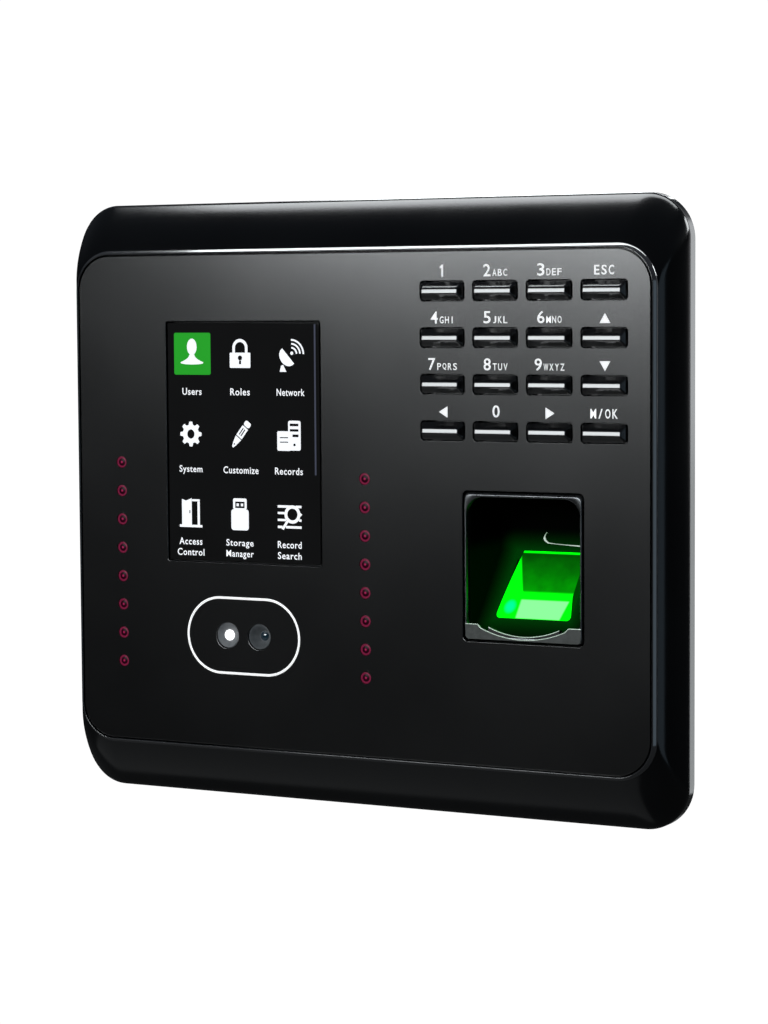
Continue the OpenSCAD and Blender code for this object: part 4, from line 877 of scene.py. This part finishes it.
menu = [("user", -44.85, 37.3, ("Users",)), ("lock", -30.95, 36.9, ("Roles",)),
        ("dish", -16.6, 36.6, ("Network",)), ("gear", -45.4, 17.0, ("System",)),
        ("pencil", -30.9, 17.2, ("Customize",)), ("files", -17.25, 17.0, ("Records",)),
        ("door", -45.65, -2.65, ("Access", "Control")), ("stick", -31.4, -2.7, ("Storage", "Manager")),
        ("search", -17.2, -3.0, ("Record", "Search"))]
menuText = {"rows": ((27.6,), (8.3,), (-9.75, -12.45)), "letterW": 1.12, "scrollTop": 44.2,
            "scrollFoot": 7.5, "tile": (10.6, 10.4, 0.5)}


def makeMenu(size):
    low = windowBox["high"] + size["lift"]
    high = low + size["thick"]
    marks, words = [], []
    for k, (icon, x, up, labels) in enumerate(menu):
        layer = 0.03 if icon == "user" else 0
        for n, outlines in enumerate(icons[icon]):
            lines = [np.asarray(line, dtype=float) + np.array([x, up]) for line in outlines]
            marks.append(cutShape(lines, low + layer, high + layer + 0.004 * n))
        for label, middle in zip(labels, menuText["rows"][k // 3]):
            width = menuText["letterW"] * len(label)
            drop = 0.42 if "y" in label or "g" in label else 0
            words.append(wordShape(label, width, size["labelH"] + drop, x - width / 2 - 0.1,
                                   middle - size["labelH"] / 2 - drop, low, high))
    addPiece("menuIcons", joined(marks), made["menuWhite"])
    addPiece("menuWords", joined(words), made["menuWhite"])
    tileW, tileH, tileR = menuText["tile"]
    tile = rectLine(menu[0][1] + 0.1, menu[0][2] - 0.35, tileW, tileH, tileR)
    addPiece("menuTile", cutShape([tile], low - 0.008, low + 0.024), made["tileGreen"])
    right = windowBox["x"] + windowBox["w"] / 2 - 1.0
    bar = boxLine(right - size["scrollW"], menuText["scrollFoot"], right, menuText["scrollTop"], 0.1)
    addPiece("menuScroll", cutShape([bar], low, high), made["scrollBlue"])


made["menuWhite"] = makeFinish("menuWhite", (0.5, 0.5, 0.5), (0.6, 0.6, 0.6), (0.4, 0.5), specular=0.1,
                               glow=(0.92, 0.95, 1.0), glowStrength=0.75)
made["tileGreen"] = makeFinish("tileGreen", (0.005, 0.12, 0.006), (0.006, 0.14, 0.008), (0.4, 0.5),
                               specular=0.1, glow=(0.015, 0.36, 0.018), glowStrength=0.75)
made["scrollBlue"] = makeFinish("scrollBlue", (0.02, 0.022, 0.03), (0.024, 0.027, 0.036), (0.4, 0.5),
                                specular=0.1, glow=(0.06, 0.068, 0.105), glowStrength=0.6)
makeGlass(screenPart)
makeMenu(screenPart)
print("screen made")

# ---- finger sensor: metal frame, textured lip, lit prism ----

sensorPart = {"r": 1.1, "innerR": 4.25, "sideWall": 0.53, "topWall": 1.05, "lipLow": 0.51, "scoopHalf": 10.6,
              "scoopR": 26.6, "stepHalf": 12.0, "shoulder": 3.75, "beadHalf": 9.15, "beadLow": 1.16,
              "beadR": 22.4, "bead": 0.17, "prismCorner": 1.1, "prismLean": 1.8, "prismRight": 1.45,
              "glintDepth": 5.8, "glintThick": 0.4}
# a painted glint shaped as a light guide's edge: (x, up, half width) from the tip of its hook
glintLine = np.array([(49.32, -4.92, 0.03), (48.85, -5.55, 0.09), (48.62, -6.15, 0.2), (48.9, -6.85, 0.13),
                      (49.65, -7.42, 0.08), (51.5, -7.6, 0.035), (54.5, -7.76, 0.06), (57.6, -7.9, 0.11),
                      (60.3, -8.02, 0.11)])


def scoopLine(half, low, radius, steps=41):
    # a shallow arc: up = low + R - sqrt(R^2 - a^2), with a the distance from the middle line
    a = np.linspace(-half, half, steps)
    foot = bezelBox["up"] - bezelBox["h"] / 2
    return np.stack([bezelBox["x"] + a, foot + low + radius - np.sqrt(radius ** 2 - a ** 2)], axis=-1)


def lipLine(size):
    # shoulder, a soft step up from the arc's end (3 t^2 - 2 t^3), and the same on the other side
    arc = scoopLine(size["scoopHalf"], size["lipLow"], size["scoopR"])
    t = np.linspace(0, 1, 9)[1:]
    top = bezelBox["up"] - bezelBox["h"] / 2 + size["shoulder"]
    x = bezelBox["x"] + size["scoopHalf"] + (size["stepHalf"] - size["scoopHalf"]) * t
    right = np.stack([x, arc[-1, 1] + (top - arc[-1, 1]) * (3 * t ** 2 - 2 * t ** 3)], axis=-1)
    right = np.concatenate([right, [(bezelBox["x"] + bezelBox["w"] / 2 - 0.3, top)]])
    left = np.stack([2 * bezelBox["x"] - right[::-1, 0], right[::-1, 1]], axis=-1)
    return np.concatenate([left, arc, right])


def bandLine(line, width):
    # the outline of a band of even width along an open line, each point moved along its own normal
    along = np.gradient(line, axis=0)
    along /= np.linalg.norm(along, axis=1)[:, None]
    side = np.stack([-along[:, 1], along[:, 0]], axis=-1) * width / 2
    return np.concatenate([line + side, (line - side)[::-1]])


def makeFrame(size):
    # an outer wall, a slope that leans outwards, a flat top that widens into the upper corners
    b = bezelBox
    side, top, high = size["sideWall"], size["topWall"], b["high"]
    steps = [(0.1, 0.1, size["r"], b["low"]), (0, 0, size["r"], b["low"] + 0.1),
             (0, 0, size["r"], high - 0.62), (0.02, 0.04, size["r"], high - 0.55),
             (side * 0.36, top * 0.46, size["r"] + 0.15, high - 0.04),
             (side * 0.44, top * 0.54, size["r"] + 0.3, high), (side * 0.8, top * 0.84, 3.9, high - 0.02),
             (side * 0.95, top * 0.96, size["innerR"] - 0.05, high - 0.12),
             (side, top, size["innerR"], high - 0.5), (side, top, size["innerR"], b["low"])]
    rows = [(b["w"] - 2 * x, b["h"] - 2 * y, r, 0, out) for x, y, r, out in steps]
    addPiece("sensorFrame", loft(roundedRings(rows, (b["x"], b["up"]), 12), closed=True), made["bezelMetal"],
             stands=("sensor_bezel",), sharp=40)
    line = lipLine(size)
    foot, reach = b["up"] - b["h"] / 2 + 0.2, b["w"] / 2 - 0.3
    lowRight = circleLine(b["x"] + reach - 0.9, foot + 0.9, 0.9, 32)[24:]
    lowLeft = np.stack([2 * b["x"] - lowRight[::-1, 0], lowRight[::-1, 1]], axis=-1)
    lip = np.concatenate([line, lowRight[::-1], lowLeft[::-1]])
    addPiece("fingerLip", cutShape([lip], high - 1.0, high + 0.06, 0.07), made["lipPlastic"],
             sharp=50)
    # a polished bead along the lip's edge, its glow a painted sheen
    addPiece("lipBead", cutShape([bandLine(line, size["bead"])], high - 0.2, high + 0.1, 0.05),
             made["beadMetalPaintedSheen"])
    inner = scoopLine(size["beadHalf"], size["beadLow"], size["beadR"])
    outer = scoopLine(size["beadHalf"] + 0.2, size["lipLow"] - 0.1, size["scoopR"])
    addPiece("scoopLedge", cutShape([np.concatenate([inner, outer[::-1]])], b["low"] - 0.6, high - 0.55),
             made["deckPlastic"])
    # a polished bead along the ledge, its glow a painted sheen
    addPiece("scoopBead", cutShape([bandLine(inner, size["bead"])], high - 0.7, high - 0.4, 0.05),
             made["beadMetalPaintedSheen"])


def makePrism(size):
    # a wedge whose face runs from its near foot to its far top. Its left edge leans in by u^1.5,
    # its right edge by u over the first third, and a quarter circle rounds each lower corner
    b = panelBox("sensor_prism")
    u = (np.linspace(0, 1, 33) ** 1.5)[:, None]
    v = np.linspace(0, 1, 17)[None, :]
    r = size["prismCorner"]
    corner = r - np.sqrt(r * r - (r - np.minimum(u * b["h"], r)) ** 2)
    left = b["x"] - b["w"] / 2 + size["prismLean"] * u ** 1.5 + corner
    right = b["x"] + b["w"] / 2 - size["prismRight"] * np.clip(u / 0.35, 0, 1) - corner
    x = left + (right - left) * v
    up = b["up"] - b["h"] / 2 + u * b["h"] + 0 * v
    face = np.stack([x, up, b["high"] - (b["high"] - b["low"]) * u + 0 * v], axis=-1)
    back = face[:, ::-1].copy()
    back[..., 2] = b["low"] - 0.25
    shape = loft(np.concatenate([face, back], axis=1))
    across = np.arange(len(shape[1])) % (2 * v.size)
    onSide = (across >= v.size - 1) | (np.arange(len(shape[1])) >= len(shape[1]) - 2)
    addPiece("fingerPrism", shape, [prismMaterial(b, prismGlowPattern), made["prismSidePaintedGlow"]],
             stands=("sensor_prism",), sharp=50, pick=onSide)
    # a glowing bar shaped as the light guide's edge carries a painted glint: a hook and a thin line above the
    # prism
    line, half = glintLine[:, :2], glintLine[:, 2]
    reach = np.stack([half * 0.8, half], axis=-1)
    outline = np.concatenate([line + reach, (line - reach)[::-1]])
    depth = plateBox["high"] - size["glintDepth"]
    addPiece("guideEdge", cutShape([outline], depth - size["glintThick"], depth), made["guideWhite"])


# where the prism's painted glow begins and ends, across and upward over its face from 0 to 1; the sensor's
# green light in the prism is painted as emission
prismGlowPattern = {"fieldFoot": (0.36, 0.42), "fieldTop": (0.985, 0.96), "fieldLeft": (0.36, 0.40),
             "fieldLean": 0.335, "patchFoot": (0.0, 0.015), "patchTop": (0.29, 0.265),
             "patchLeft": (0.255, 0.285), "patchRight": (0.86, 0.835), "patchLean": -0.19,
             "spotX": 0.15, "spotUp": 0.17, "spotWide": 1.3, "spotFade": (0.014, 0.0),
             "fade": (0.4, 0.95, 0.3, 0.075), "edge": (0.0, 1.6, 0.004), "spot": (0.0, 1.2, 0.35),
             "patch": (0.28, 1.0, 0.35), "body": (0.002, 0.02, 0.003)}
# the well's painted green glow: how far it reaches, its strength, the grain in its strength, its colour
wellPaintedGlow = {"reach": 6.0, "glow": 0.03, "speckle": 0.015, "green": (0.0, 1.0, 0.05)}


def prismMaterial(b, tone):
    # painted glow of the sensor's green light in the prism: a bright border, a pale slanted patch at the
    # foot, a bright spot, and a darker field above it whose left edge leans back; the field's green falls
    # from foot to top
    material, tree, surface, place = newMaterial("prismPaintedGreen")
    split = node(tree, "ShaderNodeSeparateXYZ", [("Vector", place)])
    left, foot = (b["x"] - b["w"] / 2) / 1000, (b["up"] - b["h"] / 2) / 1000
    across = remap(tree, split.outputs["X"], left, left + b["w"] / 1000, clamp=False)
    upward = remap(tree, split.outputs["Z"], foot, foot + b["h"] / 1000, clamp=False)
    haze = noise(tree, place, 260.0, 2.0)
    lean = maths(tree, "MULTIPLY_ADD", upward, tone["fieldLean"], across)
    rise = maths(tree, "MULTIPLY_ADD", upward, tone["patchLean"], across)
    field = maths(tree, "MULTIPLY", step(tree, upward, *tone["fieldFoot"]),
                  step(tree, upward, *tone["fieldTop"]))
    field = maths(tree, "MULTIPLY", field, step(tree, lean, *tone["fieldLeft"]))
    patch = maths(tree, "MULTIPLY", step(tree, upward, *tone["patchFoot"]),
                  step(tree, upward, *tone["patchTop"]))
    patch = maths(tree, "MULTIPLY", patch, step(tree, across, *tone["patchLeft"]))
    patch = maths(tree, "MULTIPLY", patch, step(tree, rise, *tone["patchRight"]))
    awayX = maths(tree, "MULTIPLY", maths(tree, "SUBTRACT", across, tone["spotX"]), tone["spotWide"])
    awayUp = maths(tree, "SUBTRACT", upward, tone["spotUp"])
    away = maths(tree, "ADD", maths(tree, "POWER", awayX, 2.0), maths(tree, "POWER", awayUp, 2.0))
    spot = step(tree, away, *tone["spotFade"])
    green = maths(tree, "MULTIPLY", remap(tree, upward, *tone["fade"]), maths(tree, "ADD", haze, 0.5))
    dim = node(tree, "ShaderNodeCombineColor", [("Green", green)])
    body = mixed(tree, field, colour(tone["edge"]), dim.outputs[0])
    tinted = mixed(tree, spot, body, colour(tone["spot"]))
    whole = mixed(tree, patch, tinted, colour(tone["patch"]))
    tree.links.new(whole, surface.inputs["Emission Color"])
    surface.inputs["Emission Strength"].default_value = 1.0
    surface.inputs["Base Color"].default_value = colour(tone["body"])
    surface.inputs["Roughness"].default_value = 0.3
    surface.inputs["Specular IOR Level"].default_value = 0.1
    return material


def wellMaterial(b, tone):
    # near black, with a painted green glow for the prism's light in the well, that fades with the distance d
    # from the prism as (1 - d / reach)^2
    material, tree, surface, place = newMaterial("wellBlackPaintedGlow")
    split = node(tree, "ShaderNodeSeparateXYZ", [("Vector", place)])
    gaps = []
    for axis, middle, half in (("X", b["x"], b["w"] / 2), ("Z", b["up"], b["h"] / 2)):
        away = maths(tree, "ABSOLUTE", maths(tree, "MULTIPLY_ADD", split.outputs[axis], 1000.0, -middle))
        gaps.append(maths(tree, "MAXIMUM", maths(tree, "SUBTRACT", away, half), 0.0))
    apart = maths(tree, "SQRT", maths(tree, "ADD", maths(tree, "POWER", gaps[0], 2.0),
                                      maths(tree, "POWER", gaps[1], 2.0)))
    near = remap(tree, apart, tone["reach"], 0.0)
    grain = groupNode(tree, mouldGrain, [("Vector", place), ("Scale", 2600.0)])
    glow = maths(tree, "MULTIPLY", maths(tree, "POWER", near, 2.0),
                 maths(tree, "MULTIPLY_ADD", grain.outputs["Height"], tone["speckle"], tone["glow"]))
    tree.links.new(glow, surface.inputs["Emission Strength"])
    surface.inputs["Emission Color"].default_value = colour(tone["green"])
    layTone(tree, surface, place, (0.0008, 0.001, 0.0009), (0.0012, 0.0016, 0.0013), (0.5, 0.62))
    surface.inputs["Specular IOR Level"].default_value = 0.0
    return material


# the prism's sides: a faint painted green glow
made["prismSidePaintedGlow"] = makeFinish("prismSidePaintedGlow", (0.002, 0.03, 0.003), (0.003, 0.04, 0.004), (0.3, 0.4),
                               specular=0.1, glow=(0.0, 1.0, 0.02), glowStrength=0.05)
# the glint bar's white glow is a painted glint
made["guideWhite"] = makeFinish("guideWhite", (0.4, 0.45, 0.41), (0.5, 0.56, 0.51), (0.2, 0.3),
                                glow=(0.8, 1.0, 0.85), glowStrength=0.45)
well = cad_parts["sensor_housing"].data
well.materials.clear()
well.materials.append(wellMaterial(panelBox("sensor_prism"), wellPaintedGlow))
makeFrame(sensorPart)
makePrism(sensorPart)
print("finger sensor made")

# ---- light and floor ----

lights = {
    "softFront": {"place": (-0.22, -1.00, 0.27), "aim": (0.0, -0.03, 0.03), "size": (0.70, 0.32),
                  "power": 6.4},
    "softTop": {"place": (-0.01, 0.13, 0.74), "aim": (-0.01, 0.0, 0.06), "size": (0.94, 0.22), "power": 5.6},
    "softSide": {"place": (0.75, 0.42, 0.45), "aim": (0.06, -0.02, 0.03), "size": (0.3, 0.3), "power": 4},
    "softBack": {"place": (-0.35, 0.9, 0.62), "aim": (0.0, 0.0, 0.0), "size": (0.5, 0.4), "power": 7},
    "floorCard": {"place": (-0.20, -0.24, -0.31), "aim": (-0.20, -0.24, 0.0), "size": (0.5, 0.44),
                  "power": 0.11},
    "rearCard": {"place": (-0.24, 0.40, -0.31), "aim": (-0.24, 0.30, 0.0), "size": (0.5, 0.4),
                 "power": 0.11},
    "sideCard": {"place": (0.45, 0.75, -0.05), "aim": (0.08, 0.0, 0.0), "size": (0.35, 0.9), "power": 2.0},
    "coolCard": {"place": (0.77, -0.15, -0.04), "aim": (0.08, -0.02, 0.0), "size": (0.30, 0.45),
                 "power": 0.24, "tint": (0.62, 0.82, 1.0)},
}
stage = {"floorUp": -0.32, "half": 6.0, "cells": 12, "low": (0.005, 0.0055, 0.006),
         "room": (0.04, 0.045, 0.053), "backdrop": (0.95, 0.96, 1.0), "notch": (-0.468, 0.882, 0.05),
         "floorTone": (0.03, 0.03, 0.03), "white": 1.05}


def makeLights():
    for name, spot in lights.items():
        lamp = bpy.data.lights.new(name, "AREA")
        lamp.shape, lamp.size, lamp.size_y, lamp.energy = "RECTANGLE", *spot["size"], spot["power"]
        lamp.color = spot.get("tint", (0.94, 0.98, 1.0))
        item = bpy.data.objects.new(name, lamp)
        item.visible_camera = False
        turn = (Vector(spot["place"]) - Vector(spot["aim"])).to_track_quat("Z", "Y")
        item.matrix_world = Matrix.Translation(spot["place"]) @ turn.to_matrix().to_4x4()
        scene.collection.objects.link(item)


def whiteToCamera(tree, other, kind):
    # plain white where the camera looks straight at it, the other shader in every reflection
    plain = node(tree, kind, [("Color", (1, 1, 1, 1)), ("Strength", stage["white"])])
    ray = tree.nodes.new("ShaderNodeLightPath")
    return node(tree, "ShaderNodeMixShader", [(0, ray.outputs["Is Camera Ray"]), (1, other),
                                              (2, plain.outputs[0])]).outputs[0]


def makeWorld(size):
    world = bpy.data.worlds.new("studio")
    world.use_nodes = True
    tree = world.node_tree
    tree.nodes.clear()
    # a dim room that is lighter above, and a white backdrop behind with a dark screen in it, so that
    # edges seen at a slant stay dark
    toward = tree.nodes.new("ShaderNodeTexCoord").outputs["Generated"]
    split = node(tree, "ShaderNodeSeparateXYZ", [("Vector", toward)])
    room = mixed(tree, step(tree, split.outputs["Z"], 0.06, 0.42), colour(size["low"]), colour(size["room"]))
    facing = node(tree, "ShaderNodeVectorMath", [(0, toward), (1, size["notch"])], operation="DOT_PRODUCT")
    behind = maths(tree, "MULTIPLY", step(tree, split.outputs["Y"], 0.5, 0.8),
                   step(tree, facing.outputs["Value"], 0.84, 0.62))
    tone = mixed(tree, behind, room, colour(size["backdrop"]))
    sky = node(tree, "ShaderNodeBackground", [("Color", tone), ("Strength", 1.0)])
    result = tree.nodes.new("ShaderNodeOutputWorld")
    tree.links.new(whiteToCamera(tree, sky.outputs[0], "ShaderNodeBackground"), result.inputs["Surface"])
    scene.world = world


def makeFloor(size):
    # a grid that lies flat under the object
    cells = size["cells"]
    side = np.linspace(-size["half"], size["half"], cells + 1)
    x, y = np.meshgrid(side, side, indexing="ij")
    points = np.stack([x, y, np.full_like(x, size["floorUp"])], axis=-1).reshape(-1, 3)
    r, c = np.meshgrid(np.arange(cells), np.arange(cells), indexing="ij")
    first = r * (cells + 1) + c
    faces = np.stack([first, first + cells + 1, first + cells + 2, first + 1], axis=-1)
    mesh = bpy.data.meshes.new("floor")
    mesh.from_pydata(points.tolist(), [], faces.reshape(-1, 4).tolist())
    material = bpy.data.materials.new("floorPale")
    material.use_nodes = True
    tree = material.node_tree
    surface = tree.nodes["Principled BSDF"]
    surface.inputs["Base Color"].default_value = colour(size["floorTone"])
    surface.inputs["Roughness"].default_value = 0.9
    surface.inputs["Specular IOR Level"].default_value = 0.1
    tree.links.new(whiteToCamera(tree, surface.outputs[0], "ShaderNodeEmission"),
                   tree.nodes["Material Output"].inputs["Surface"])
    mesh.materials.append(material)
    floor = bpy.data.objects.new("floor", mesh)
    scene.collection.objects.link(floor)


makeLights()
makeWorld(stage)
makeFloor(stage)
print("lights and floor made")
